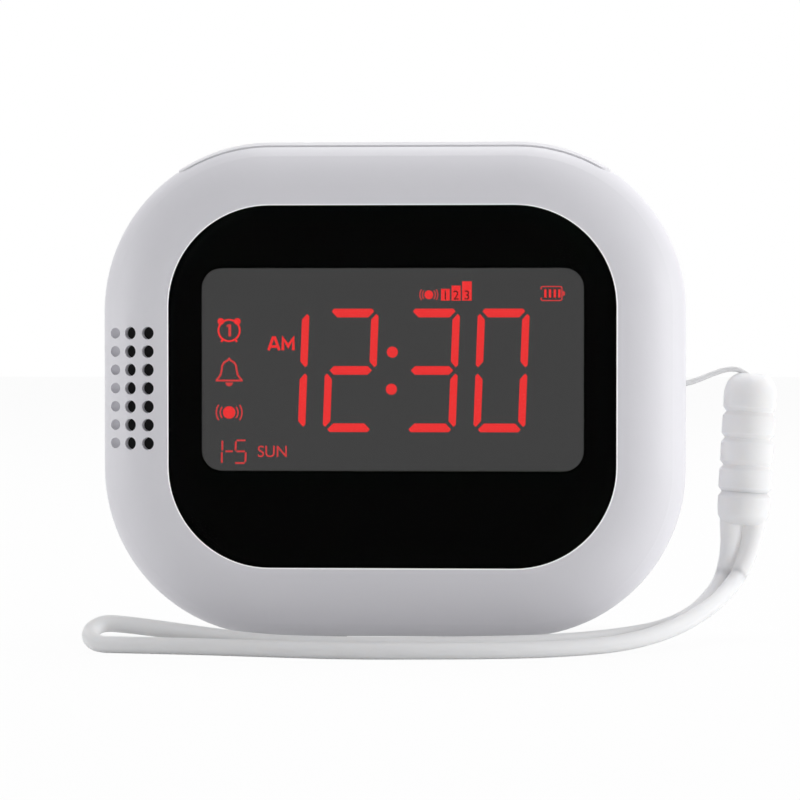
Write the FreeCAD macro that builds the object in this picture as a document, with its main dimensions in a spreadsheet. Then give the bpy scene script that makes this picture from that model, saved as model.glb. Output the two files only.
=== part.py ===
import FreeCAD, Part
import math
import os
import Sketcher

V = FreeCAD.Vector
doc = FreeCAD.newDocument("bed_shaker_clock")
sheet = doc.addObject("Spreadsheet::Sheet", "Sizes")

# Driving dimensions in millimetres. X runs to the right, Y away from the viewer, Z up.
# The origin is on the ground under the middle of the clock.
DRIVING = {
    # housing
    "body_width": 88.0, "body_height": 74.6, "body_depth": 37.2, "corner_radius": 25.4,
    "wall": 2.2, "foot_height": 1.0, "rim_width": 10.1, "rim_depth": 7.7,
    "rim_side_radius": 6.3, "side_land": 0.35, "cover_depth": 7.2, "cover_round": 5.0,
    "lip_height": 1.6, "lip_thickness": 1.0, "fit_gap": 0.1, "overrun": 2.0,
    # case screws and their bosses
    "boss_radius": 3.2, "boss_merge": 0.4, "screw_shank_radius": 1.1, "screw_head_radius": 2.2,
    "screw_head_height": 1.5, "screw_bite": 8.0, "screw_sink": 0.7, "screw_floor": 2.4,
    "driver_slot": 0.5, "driver_length": 2.6, "driver_depth": 0.8, "thread_gap": 0.02,
    # feet
    "foot_length": 10.0, "foot_width": 5.0, "foot_seat": 0.4, "foot_corner": 2.0,
    "foot_spread": 12.5, "foot_pitch": 7.0,
    # window and display
    "lens_thickness": 2.0, "lens_gap": 0.06, "lens_rise": 0.6, "lens_bevel": 0.25,
    "mask_thickness": 0.3, "ledge_width": 2.4, "ledge_thickness": 1.5,
    "window_side": 5.0, "window_head": 9.5, "window_sill": 14.6, "window_radius": 3.0,
    "glass_margin": 1.5, "glass_thickness": 2.6, "diffuser_thickness": 2.5,
    "frame_wall": 1.7, "web_thickness": 1.0, "web_width": 3.0, "frame_corner": 1.5,
    # boards and chassis
    "board_thickness": 1.2, "board_side": 14.0, "board_end": 11.3, "board_corner": 3.0,
    "chassis_standoff": 1.8, "chassis_thickness": 1.6, "chassis_side": 15.0,
    "chassis_end": 5.8, "chassis_corner": 4.0, "post_radius": 2.2, "post_side": 5.0,
    "post_end": 2.9, "small_shank_radius": 0.8, "small_head_radius": 1.6,
    "small_head_height": 1.1, "small_bite": 5.0, "standoff_radius": 1.8, "standoff_side": 4.2,
    "standoff_end": 3.5,
    # battery
    "battery_side": 5.0, "battery_end": 9.45, "battery_foot": 0.55, "battery_depth": 8.5,
    "battery_round": 2.4, "tray_wall": 1.2, "tray_depth": 5.0,
    # motor
    "motor_radius": 7.7, "motor_length": 22.0, "motor_drop": 16.0, "motor_shift": -2.0,
    "bush_radius": 3.0, "bush_length": 1.6, "shaft_radius": 1.0, "shaft_gap": 0.03,
    "end_cap_length": 3.0, "sleeve_thickness": 0.8, "sleeve_length": 16.0,
    "saddle_floor": 1.5, "saddle_side": 5.0, "saddle_length": 14.0, "clamp_thickness": 1.4,
    "ear_thickness": 2.0, "clamp_screw_spread": 4.5, "weight_radius": 8.0,
    "weight_length": 7.0, "weight_hub": 3.0, "weight_gap": 0.9, "shaft_tail": 1.0,
    "terminal_size": 1.4,
    # speaker and its sound holes
    "speaker_width": 8.0, "speaker_length": 18.0, "speaker_depth": 3.5, "speaker_gap": 0.5,
    "speaker_edge": 0.7, "speaker_corner": 1.0, "gasket_thickness": 0.8, "film_thickness": 0.2,
    "film_setback": 0.2, "dome_margin": 1.0, "dome_gap": 0.1, "coil_depth": 1.4,
    "coil_thickness": 0.4, "coil_inset": 0.2, "yoke_wall": 0.6, "yoke_depth": 2.4,
    "magnet_depth": 1.2, "magnet_inset": 1.0, "chamber_wall": 0.8,
    "hole_radius": 0.95, "hole_pitch": 2.75, "hole_rise": 0.35, "blind_depth": 1.2,
    "column_one": 2.3, "column_two": 4.75, "column_three": 7.5, "blind_radius": 0.8,
    # snooze button
    "pad_side": 11.4, "pad_setback": 5.0, "pad_length": 22.0, "pad_corner": 2.0,
    "pad_proud": 0.15, "pad_gap": 0.3, "flange_reach": 1.2,
    "flange_gap": 0.15, "flange_thickness": 1.0, "rib_width": 4.0, "rib_depth": 3.0,
    "pad_travel": 0.8,
    # push switches
    "tact_size": 6.0, "tact_height": 3.5, "tact_plunger_radius": 1.7,
    "tact_plunger_proud": 1.5, "tact_plunger_sunk": 0.4, "tact_well": 1.5, "tact_gap": 0.1,
    "snooze_switch_drop": 8.0,
    # rear keys, slide switches and charging socket
    "key_proud": 0.8, "key_radius": 3.4, "key_gap": 0.15, "key_flange": 1.0,
    "key_flange_thickness": 0.85, "key_round": 0.5, "key_stem_radius": 2.0,
    "key_rise": 15.0, "key_pitch": 13.0, "key_board_y": 9.6, "key_board_width": 54.0,
    "key_board_height": 26.5, "key_board_rise": 9.5, "key_board_post": 24.5,
    "key_board_post_rise": 10.6,
    "switch_rise": 3.0, "switch_x": 17.0, "switch_length": 10.0, "switch_width": 5.0,
    "switch_height": 3.7, "switch_travel": 2.0, "lever_size": 1.5, "lever_proud": 1.8,
    "lever_sunk": 0.8, "knob_stem": 2.6, "knob_stem_width": 2.2, "knob_plate": 0.7,
    "knob_proud": 0.6, "knob_dish": 0.8, "dish_margin": 1.0, "knob_grip": 3.6, "slot_gap": 0.3,
    "usb_width": 8.9, "usb_height": 3.3, "usb_depth": 8.2, "usb_wall": 0.3,
    "tongue_width": 6.6, "tongue_thickness": 0.7, "tongue_depth": 6.0,
    # lanyard anchor
    "anchor_y": 3.0, "anchor_z": 39.0, "anchor_slot_width": 3.6, "anchor_slot_height": 7.0,
    "anchor_slot_depth": 4.2, "anchor_block_side": 1.6, "anchor_block_floor": 1.2,
    "pin_radius": 0.8, "pin_depth": 1.1, "pin_seat": 1.0, "pin_gap": 0.02,
    # strap
    "cap_length": 23.36, "cap_radius": 4.05, "cap_groove": 0.7, "cap_groove_width": 1.5,
    "cap_neck": 3.45, "cap_neck_length": 1.6, "cap_crown": 1.75, "cap_crown_height": 3.1,
    "cap_foot_x": 53.5, "cap_foot_y": 2.65, "cap_foot_z": 17.3, "cord_well": 1.45,
    "cord_well_depth": 1.25, "strand_spread": 1.6, "strand_gap": 0.05, "strand_depth": 1.45,
    "lanyard_diameter": 0.8, "strap_diameter": 2.5,
    # wiring
    "lead_diameter": 0.8, "lead_pitch": 1.8, "notch_depth": 3.5, "notch_height": 8.0,
    "battery_lead_rise": 17.0, "motor_lead_drop": 5.5, "speaker_lead_rise": 6.0,
    "ribbon_width": 10.0, "ribbon_thickness": 0.3, "ribbon_side": 3.3, "ribbon_bow": 45.0,
    "socket_depth": 1.6, "socket_width": 2.4, "socket_side": 1.0,
    "chip_size": 7.0, "chip_height": 0.9, "led_length": 3.5, "led_width": 2.8,
    "led_height": 0.8,
}

# Shares chosen by eye, which follow whatever they divide
BOSS_SIDE_SHARE, BOSS_RISE_SHARE = 0.94, 0.34
LED_SHARES = (-0.36, -0.12, 0.12, 0.36)
CHIP_SHARES = ((-0.2, -0.12, 1.0), (0.12, -0.2, 0.7), (0.25, 0.02, 0.5), (-0.05, -0.3, 0.5))

for row, (alias, number) in enumerate(DRIVING.items(), start=1):
    sheet.set(f"A{row}", alias)
    sheet.set(f"B{row}", str(number))
    sheet.setAlias(f"B{row}", alias)
doc.recompute()


class Size:
    """A length as a number and as the expression that ties it to the sheet."""

    def __init__(self, value, text):
        self.value = value
        self.text = text

    def __add__(self, other):
        other = as_size(other)
        return Size(self.value + other.value, f"({self.text} + {other.text})")

    def __sub__(self, other):
        other = as_size(other)
        return Size(self.value - other.value, f"({self.text} - {other.text})")

    def __mul__(self, other):
        other = as_size(other)
        return Size(self.value * other.value, f"({self.text} * {other.text})")

    def __truediv__(self, other):
        other = as_size(other)
        return Size(self.value / other.value, f"({self.text} / {other.text})")

    def __neg__(self):
        return Size(-self.value, f"(0 - {self.text})")

    def __rmul__(self, other):
        return as_size(other) * self

    def __radd__(self, other):
        return as_size(other) + self

    def __rsub__(self, other):
        return as_size(other) - self


def as_size(item):
    return item if isinstance(item, Size) else Size(float(item), repr(float(item)))


def root(item):
    return Size(math.sqrt(item.value), f"sqrt({item.text})")


class Sizes:
    """Every driving dimension as a Size, by its name in the sheet."""


s = Sizes()
for alias in DRIVING:
    setattr(s, alias, Size(float(getattr(sheet, alias)), f"Sizes.{alias}"))


def derive(alias, item):
    """A size worked out from others, kept in a cell of its own."""
    row = len(DRIVING) + len(derived) + 1
    derived.append(alias)
    sheet.set(f"A{row}", alias)
    sheet.set(f"B{row}", "=" + item.text.replace("Sizes.", ""))
    sheet.setAlias(f"B{row}", alias)
    made = Size(item.value, f"Sizes.{alias}")
    setattr(s, alias, made)
    return made


derived = []
ZERO = as_size(0)

# Levels along Y, from the front face to the back
derive("front_y", -(s.body_depth + s.key_proud) / 2)
derive("back_y", s.front_y + s.body_depth)
derive("part_y", s.back_y - s.cover_depth)
derive("rim_y", s.front_y + s.rim_depth)
derive("lens_back", s.front_y + s.lens_thickness)
derive("seat_y", s.lens_back + s.mask_thickness)
derive("ledge_y", s.seat_y + s.ledge_thickness)
derive("glass_back", s.seat_y + s.glass_thickness)
derive("diffuser_back", s.glass_back + s.diffuser_thickness)
derive("board_front", s.diffuser_back + s.web_thickness)
derive("board_back", s.board_front + s.board_thickness)
derive("chassis_front", s.board_back + s.chassis_standoff)
derive("chassis_back", s.chassis_front + s.chassis_thickness)
derive("cover_inner", s.back_y - s.wall)
derive("key_board_front", s.key_board_y - s.board_thickness)

# Levels along Z
derive("centre_z", s.foot_height + s.body_height / 2)
derive("top_z", s.foot_height + s.body_height)
derive("lens_z", s.centre_z + s.lens_rise)

# The front rim is two tangent arcs: a small one off the side, a large one up to the lens
derive("rim_front_radius",
       ((s.rim_width - s.rim_side_radius) * (s.rim_width - s.rim_side_radius)
        + s.rim_depth * s.rim_depth - s.rim_side_radius * s.rim_side_radius)
       / (2 * (s.rim_depth - s.rim_side_radius)))
derive("rim_front_centre", s.front_y + s.rim_front_radius)
derive("rim_step", s.rim_front_radius - s.rim_side_radius)

# Lens pocket, ledge opening and the corner centres of the case bosses
derive("pocket_width", s.body_width - 2 * (s.rim_width + s.side_land))
derive("pocket_height", s.body_height - 2 * s.rim_width)
derive("pocket_radius", s.corner_radius - s.rim_width)
derive("window_width", s.pocket_width - 2 * s.window_side)
derive("window_height", s.pocket_height - s.window_head - s.window_sill)
derive("window_z", s.lens_z + (s.window_sill - s.window_head) / 2)
derive("boss_reach", s.corner_radius - s.wall - s.boss_radius + s.boss_merge)
derive("boss_x", s.body_width / 2 - s.corner_radius + s.boss_reach * BOSS_SIDE_SHARE)
derive("boss_rise", s.body_height / 2 - s.corner_radius + s.boss_reach * BOSS_RISE_SHARE)
derive("motor_z", s.centre_z - s.motor_drop)
derive("board_width", s.body_width - 2 * s.board_side)
derive("board_height", s.body_height - 2 * s.board_end)
derive("standoff_x", s.board_width / 2 - s.standoff_side)
derive("standoff_rise", s.board_height / 2 - s.standoff_end)
derive("ribbon_x", s.board_width / 2 - s.ribbon_side)
derive("chassis_width", s.body_width - 2 * s.chassis_side)
derive("chassis_height", s.body_height - 2 * s.chassis_end)
derive("post_x", s.chassis_width / 2 - s.post_side)
derive("post_rise", s.chassis_height / 2 - s.post_end)
derive("battery_width", s.chassis_width - 2 * s.battery_side)
derive("battery_height", s.chassis_height / 2 - s.battery_end - s.battery_foot)
derive("battery_rise", s.battery_foot + s.battery_height / 2)
derive("pad_half_width", s.body_width / 2 - s.pad_side)
derive("sleeve_radius", s.motor_radius + s.sleeve_thickness)
derive("motor_y", s.chassis_back + s.saddle_floor + s.sleeve_radius)
derive("speaker_x", -(s.body_width / 2 - s.wall - s.speaker_gap - s.speaker_width / 2))
derive("speaker_seat", s.rim_y)
derive("speaker_front", s.speaker_seat + s.gasket_thickness)
derive("pad_front", s.front_y + s.pad_setback)
derive("pad_back", s.pad_front + s.pad_length)
derive("anchor_x", s.body_width / 2 - s.pin_depth)
doc.recompute()

AXES = {"X": ("YZ_Plane", 1), "Y": ("XZ_Plane", -1), "Z": ("XY_Plane", 1)}
nodes = []


def new_body(label):
    body = doc.addObject("PartDesign::Body", label)
    body.Label = label
    body.AllowCompound = True
    return body


def keep(piece):
    """Marks a finished piece as one that is written out."""
    nodes.append(piece)
    return piece


def bind(piece, **properties):
    for name, item in properties.items():
        piece.setExpression(name.replace("__", "."), as_size(item).text)


def arc_between(start, finish, radius, side):
    """The short arc of that radius from start to finish, bulging right of travel for side 1."""
    chord = finish - start
    half = chord.Length / 2
    lift = math.sqrt(max(radius * radius - half * half, 0))
    left = V(-chord.y, chord.x, 0) / chord.Length
    centre = (start + finish) / 2 + left * (lift * side)
    first, last = (start, finish) if side > 0 else (finish, start)
    angles = [math.atan2(end.y - centre.y, end.x - centre.x) for end in (first, last)]
    return Part.ArcOfCircle(Part.Circle(centre, V(0, 0, 1), radius), *angles)


def hold(sketch, geometry, end, u, v):
    """Fixes one end of a sketch curve at two expressions."""
    for kind, item in (("DistanceX", as_size(u)), ("DistanceY", as_size(v))):
        index = sketch.addConstraint(Sketcher.Constraint(kind, -1, 1, geometry, end, item.value))
        sketch.setExpression(f"Constraints[{index}]", item.text)


def hold_radius(sketch, geometry, radius):
    index = sketch.addConstraint(Sketcher.Constraint("Radius", geometry, radius.value))
    sketch.setExpression(f"Constraints[{index}]", radius.text)


def draw(sketch, outline):
    """Draws one closed outline. A corner is (u, v), or (u, v, radius, side) before an arc."""
    first = sketch.GeometryCount
    if outline[0] == "circle":
        name, u, v, radius = outline
        centre = V(as_size(u).value, as_size(v).value, 0)
        sketch.addGeometry(Part.Circle(centre, V(0, 0, 1), radius.value))
        hold(sketch, first, 3, u, v)
        hold_radius(sketch, first, radius)
        return
    count = len(outline)
    spots = [V(as_size(corner[0]).value, as_size(corner[1]).value, 0) for corner in outline]
    ends = []
    for k, corner in enumerate(outline):
        start, finish = spots[k], spots[(k + 1) % count]
        if len(corner) == 2:
            sketch.addGeometry(Part.LineSegment(start, finish))
            ends.append((1, 2))
            continue
        radius, side = corner[2:]
        sketch.addGeometry(arc_between(start, finish, radius.value, side))
        ends.append((1, 2) if side > 0 else (2, 1))
    for k in range(count):
        after = (k + 1) % count
        sketch.addConstraint(Sketcher.Constraint("Coincident", first + k, ends[k][1],
                                                 first + after, ends[after][0]))
    for k, corner in enumerate(outline):
        hold(sketch, first + k, ends[k][0], corner[0], corner[1])
        if len(corner) > 2:
            hold_radius(sketch, first + k, corner[2])


def new_sketch(body, label, axis, level, outlines, shift=None):
    """A sketch across an axis at a level. Outlines run in X-Z, X-Y or Y-Z coordinates."""
    role, sign = AXES[axis]
    sketch = body.newObject("Sketcher::SketchObject", label)
    plane = [item for item in body.Origin.OriginFeatures if item.Role == role][0]
    sketch.AttachmentSupport = [(plane, "")]
    sketch.MapMode = "FlatFace"
    sketch.setExpression("AttachmentOffset.Base.z", (as_size(level) * sign).text)
    if shift:
        bind(sketch, AttachmentOffset__Base__x=shift[0], AttachmentOffset__Base__y=shift[1])
    for outline in outlines:
        draw(sketch, outline)
    return sketch


def pad(body, label, axis, low, high, *outlines):
    low, high = as_size(low), as_size(high)
    level = high if axis == "Y" else low
    sketch = new_sketch(body, label + "_outline", axis, level, outlines)
    feature = body.newObject("PartDesign::Pad", label)
    feature.Profile = sketch
    bind(feature, Length=high - low)
    return feature


def pocket(body, label, axis, low, high, *outlines):
    low, high = as_size(low), as_size(high)
    level = low if axis == "Y" else high
    sketch = new_sketch(body, label + "_outline", axis, level, outlines)
    feature = body.newObject("PartDesign::Pocket", label)
    feature.Profile = sketch
    bind(feature, Length=high - low)
    return feature


def sweep(body, label, section, inset=ZERO):
    """Carries a Y-Z section, drawn at the bottom middle, once round the body's outline."""
    profile = new_sketch(body, label + "_section", "X", ZERO, [section])
    spine = new_sketch(body, label + "_spine", "Y", ZERO,
                       [rounded(ZERO, s.centre_z, s.body_width - 2 * inset,
                                s.body_height - 2 * inset, s.corner_radius - inset, True)])
    feature = body.newObject("PartDesign::AdditivePipe", label)
    feature.Profile = profile
    feature.Spine = spine
    return feature


def turned(body, label, axis, along, across, outline):
    """Revolves an outline about a line along X, Y or Z. The outline is (along axis, radius)."""
    setting = {"X": ("Z", along[1], (ZERO, along[0]), "H_Axis"),
               "Y": ("X", along[0], (ZERO, along[1]), "H_Axis"),
               "Z": ("Y", along[1], (along[0], ZERO), "V_Axis")}[axis]
    plane_axis, level, shift, line = setting
    if axis == "Z":
        outline = [(corner[1], corner[0]) + tuple(corner[2:]) for corner in outline]
    sketch = new_sketch(body, label + "_outline", plane_axis, level, [outline], shift)
    feature = body.newObject("PartDesign::Revolution", label)
    feature.Profile = sketch
    feature.ReferenceAxis = (sketch, [line])
    feature.Angle = across
    return feature


FULL_TURN = 360.0


def rounded(u, v, width, height, radius, start_low=False):
    """A rounded rectangle about (u, v). With start_low it begins at the bottom middle."""
    left, right = u - width / 2, u + width / 2
    low, high = v - height / 2, v + height / 2
    corners = [(right - radius, low, radius, 1), (right, low + radius),
               (right, high - radius, radius, 1), (right - radius, high),
               (left + radius, high, radius, 1), (left, high - radius),
               (left, low + radius, radius, 1), (left + radius, low)]
    return [(u, low)] + corners if start_low else corners


def boxed(left, right, low, high):
    return [(left, low), (right, low), (right, high), (left, high)]


def brick(label, left, right, front, back, low, high):
    piece = doc.addObject("Part::Box", label)
    piece.Label = label
    bind(piece, Length=right - left, Width=back - front, Height=high - low,
         Placement__Base__x=left, Placement__Base__y=front, Placement__Base__z=low)
    return piece


TURNS = {"X": FreeCAD.Rotation(V(0, 1, 0), 90), "Y": FreeCAD.Rotation(V(1, 0, 0), -90),
         "Z": FreeCAD.Rotation()}


def rod(label, axis, x, y, z, radius, length):
    """A cylinder that starts at (x, y, z) and runs along the axis."""
    piece = doc.addObject("Part::Cylinder", label)
    piece.Label = label
    piece.Placement = FreeCAD.Placement(V(0, 0, 0), TURNS[axis])
    bind(piece, Radius=radius, Height=length,
         Placement__Base__x=x, Placement__Base__y=y, Placement__Base__z=z)
    return piece


def join(label, pieces):
    piece = doc.addObject("Part::MultiFuse", label)
    piece.Label = label
    piece.Shapes = pieces
    return piece


def cut(label, base, tool):
    piece = doc.addObject("Part::Cut", label)
    piece.Label = label
    piece.Base, piece.Tool = base, tool
    return piece


def common(label, one, other):
    piece = doc.addObject("Part::MultiCommon", label)
    piece.Label = label
    piece.Shapes = [one, other]
    return piece


def group(label, pieces):
    piece = doc.addObject("Part::Compound", label)
    piece.Label = label
    piece.Links = pieces
    return piece


def screw(label, x, y, z, shank, head, head_height, length, direction=1):
    """A pan head screw along Y. The head's bearing face is at y, and its shank runs forward."""
    shaft = rod(label + "_shank", "Y", x, y - length, z, shank, length)
    cap = rod(label + "_head", "Y", x, y, z, head, head_height)
    solid = join(label + "_blank", [shaft, cap])
    long_half = s.driver_length / 2 * (head / s.screw_head_radius)
    slim_half = s.driver_slot / 2
    floor = y + head_height - s.driver_depth * (head_height / s.screw_head_height)
    over = y + head_height + s.overrun
    flat = brick(label + "_slot_flat", x - long_half, x + long_half, floor, over,
                 z - slim_half, z + slim_half)
    tall = brick(label + "_slot_tall", x - slim_half, x + slim_half, floor, over,
                 z - long_half, z + long_half)
    return cut(label, solid, join(label + "_slot", [flat, tall]))


def four_corners(x, rise, centre):
    return [(side * x, centre + up * rise) for side in (-1, 1) for up in (-1, 1)]


# Housing

def rim_tangent(radius):
    """Where the two rim arcs meet, on the curve that lies radius from the large arc's centre."""
    centre_v = s.foot_height + s.rim_width
    step_y = (s.rim_y - s.rim_front_centre) / s.rim_step
    step_v = (s.rim_side_radius - s.rim_width) / s.rim_step
    return s.rim_front_centre + step_y * radius, centre_v + step_v * radius


def housing_form():
    """The outside of the front half: a block with the curved rim swept round it."""
    body = new_body("housing_form")
    inner = s.rim_width + s.ledge_width
    pad(body, "form_core", "Y", s.front_y, s.part_y,
        rounded(ZERO, s.centre_z, s.body_width - 2 * s.rim_width,
                s.body_height - 2 * s.rim_width, s.corner_radius - s.rim_width))
    low = s.foot_height
    section = [(s.part_y, low), (s.rim_y, low, s.rim_side_radius, -1),
               rim_tangent(s.rim_front_radius) + (s.rim_front_radius, -1),
               (s.front_y, low + s.rim_width), (s.front_y, low + inner),
               (s.part_y, low + inner)]
    sweep(body, "form_rim", section)
    return body


def housing_cavity():
    """The hollow of the front half, less the bosses, posts and blocks that stand in it."""
    body = new_body("housing_cavity")
    back = s.part_y + s.overrun
    inner = s.rim_width + s.ledge_width
    pad(body, "cavity_core", "Y", s.ledge_y, back,
        rounded(ZERO, s.centre_z, s.body_width - 2 * s.rim_width,
                s.body_height - 2 * s.rim_width, s.corner_radius - s.rim_width))
    low = s.foot_height
    side, front = s.rim_side_radius - s.wall, s.rim_front_radius - s.wall
    drop = s.rim_front_centre - s.ledge_y
    meet = low + s.rim_width - root(front * front - drop * drop)
    section = [(back, low + s.wall), (s.rim_y, low + s.wall, side, -1),
               rim_tangent(front) + (front, -1), (s.ledge_y, meet),
               (s.ledge_y, low + inner), (back, low + inner)]
    sweep(body, "cavity_rim", section)
    before = s.ledge_y - s.overrun
    pocket(body, "case_bosses", "Y", before, s.part_y,
           *[("circle", x, z, s.boss_radius)
             for x, z in four_corners(s.boss_x, s.boss_rise, s.centre_z)])
    pocket(body, "chassis_posts", "Y", before, s.chassis_front,
           *[("circle", x, z, s.post_radius)
             for x, z in four_corners(s.post_x, s.post_rise, s.centre_z)])
    half_y = s.anchor_slot_width / 2 + s.anchor_block_side
    half_z = s.anchor_slot_height / 2 + s.anchor_block_side
    block_x = s.body_width / 2 - s.anchor_slot_depth - s.anchor_block_floor
    pocket(body, "anchor_block", "X", block_x, s.body_width / 2 + s.overrun,
           boxed(s.anchor_y - half_y, s.anchor_y + half_y,
                 s.anchor_z - half_z, s.anchor_z + half_z))
    pocket(body, "sound_chamber", "Y", before, s.speaker_seat,
           rounded(s.speaker_x, s.centre_z, s.speaker_width + 2 * s.speaker_gap,
                   s.speaker_length + 2 * s.speaker_gap, s.speaker_corner),
           rounded(s.speaker_x, s.centre_z, s.speaker_width - 2 * s.chamber_wall,
                   s.speaker_length - 2 * s.chamber_wall, s.speaker_corner))
    return body


def front_housing():
    """The deep front moulding: rim, side walls, lens ledge, bosses and openings."""
    body = housing_form()
    cavity = housing_cavity()
    doc.recompute()
    hollow = body.newObject("PartDesign::Boolean", "hollow")
    hollow.setObjects([cavity])
    hollow.Type = "Cut"
    doc.recompute()
    pocket(body, "lens_pocket", "Y", s.front_y - s.overrun, s.seat_y,
           rounded(ZERO, s.lens_z, s.pocket_width, s.pocket_height, s.pocket_radius))
    pocket(body, "display_opening", "Y", s.front_y - s.overrun, s.part_y,
           glass_outline(s.fit_gap))
    outer = s.wall - s.lip_thickness - s.fit_gap
    inner = s.wall + s.fit_gap
    pocket(body, "lip_rebate", "Y", s.part_y - s.lip_height - s.fit_gap, s.part_y + s.overrun,
           rounded(ZERO, s.centre_z, s.body_width - 2 * outer, s.body_height - 2 * outer,
                   s.corner_radius - outer),
           rounded(ZERO, s.centre_z, s.body_width - 2 * inner, s.body_height - 2 * inner,
                   s.corner_radius - inner))
    pocket(body, "snooze_opening", "Z", s.centre_z + s.body_height / 4, s.top_z + s.overrun,
           rounded(ZERO, (s.pad_front + s.pad_back) / 2,
                   2 * (s.pad_half_width + s.pad_gap), s.pad_length + 2 * s.pad_gap,
                   s.pad_corner + s.pad_gap))
    pocket(body, "case_screw_holes", "Y", s.part_y - s.screw_bite - s.fit_gap,
           s.part_y + s.overrun,
           *[("circle", x, z, s.screw_shank_radius + s.thread_gap)
             for x, z in four_corners(s.boss_x, s.boss_rise, s.centre_z)])
    pocket(body, "post_holes", "Y", s.chassis_front - s.small_bite, s.chassis_front + s.overrun,
           *[("circle", x, z, s.small_shank_radius + s.thread_gap)
             for x, z in four_corners(s.post_x, s.post_rise, s.centre_z)])
    edge = -s.body_width / 2
    pocket(body, "blind_holes", "Y", s.front_y - s.overrun,
           rim_face(s.column_one) + s.blind_depth,
           *[("circle", edge + s.column_one, row, s.blind_radius) for row in hole_rows()])
    pocket(body, "anchor_slot", "X", s.body_width / 2 - s.anchor_slot_depth,
           s.body_width / 2 + s.overrun,
           rounded(s.anchor_y, s.anchor_z, s.anchor_slot_width, s.anchor_slot_height,
                   s.anchor_slot_width / 3))
    pocket(body, "pin_hole", "Z", s.anchor_z - s.anchor_slot_height / 2 - s.pin_seat,
           s.anchor_z + s.anchor_slot_height / 2 + s.pin_seat,
           ("circle", s.anchor_x, s.anchor_y, s.pin_radius + s.pin_gap))
    pocket(body, "foot_recesses", "Z", ZERO, s.foot_height + s.foot_seat,
           *[rounded(side * s.foot_spread, front * s.foot_pitch,
                     s.foot_length + 2 * s.fit_gap, s.foot_width + 2 * s.fit_gap,
                     s.foot_corner + s.fit_gap)
             for side in (-1, 1) for front in (-1, 1)])
    body.Label = "housing_shell"
    return keep(cut("front_housing", body, sound_holes()))


def hole_rows():
    return [s.centre_z + s.hole_rise + s.hole_pitch * step for step in range(-3, 4)]


def rim_face(column):
    """The level of the rim's face at a distance in from the body's side."""
    reach = s.rim_width - column
    return s.rim_front_centre - root(s.rim_front_radius * s.rim_front_radius - reach * reach)


# How far the two open columns lean from straight back, as sine and cosine
HOLE_LEAN_SHARES = ((0.28, 0.96), (0.18, 0.9837))


def sound_holes():
    """Two columns of holes from the rim's face into the speaker's chamber, leaning inwards."""
    rods = []
    for column, (across, back) in zip((s.column_two, s.column_three), HOLE_LEAN_SHARES):
        x = -s.body_width / 2 + column - s.overrun * across
        y = rim_face(column) - s.overrun * back
        length = (s.rim_y - s.overrun - y) / back
        lean = FreeCAD.Rotation(V(0, 0, 1), -math.degrees(math.atan2(across, back)))
        for row in hole_rows():
            hole = rod(f"sound_hole_{len(rods)}", "Y", x, y, row, s.hole_radius, length)
            hole.Placement.Rotation = lean * TURNS["Y"]
            rods.append(hole)
    return join("sound_holes", rods)


def edges_at(feature, y):
    """Names of the edges that lie in the plane at y."""
    names = []
    for number, edge in enumerate(feature.Shape.Edges, start=1):
        box = edge.BoundBox
        flat = abs(box.YMin - y.value) < TOUCH and abs(box.YMax - y.value) < TOUCH
        if flat:
            names.append(f"Edge{number}")
    return names


TOUCH = 1e-4


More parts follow.
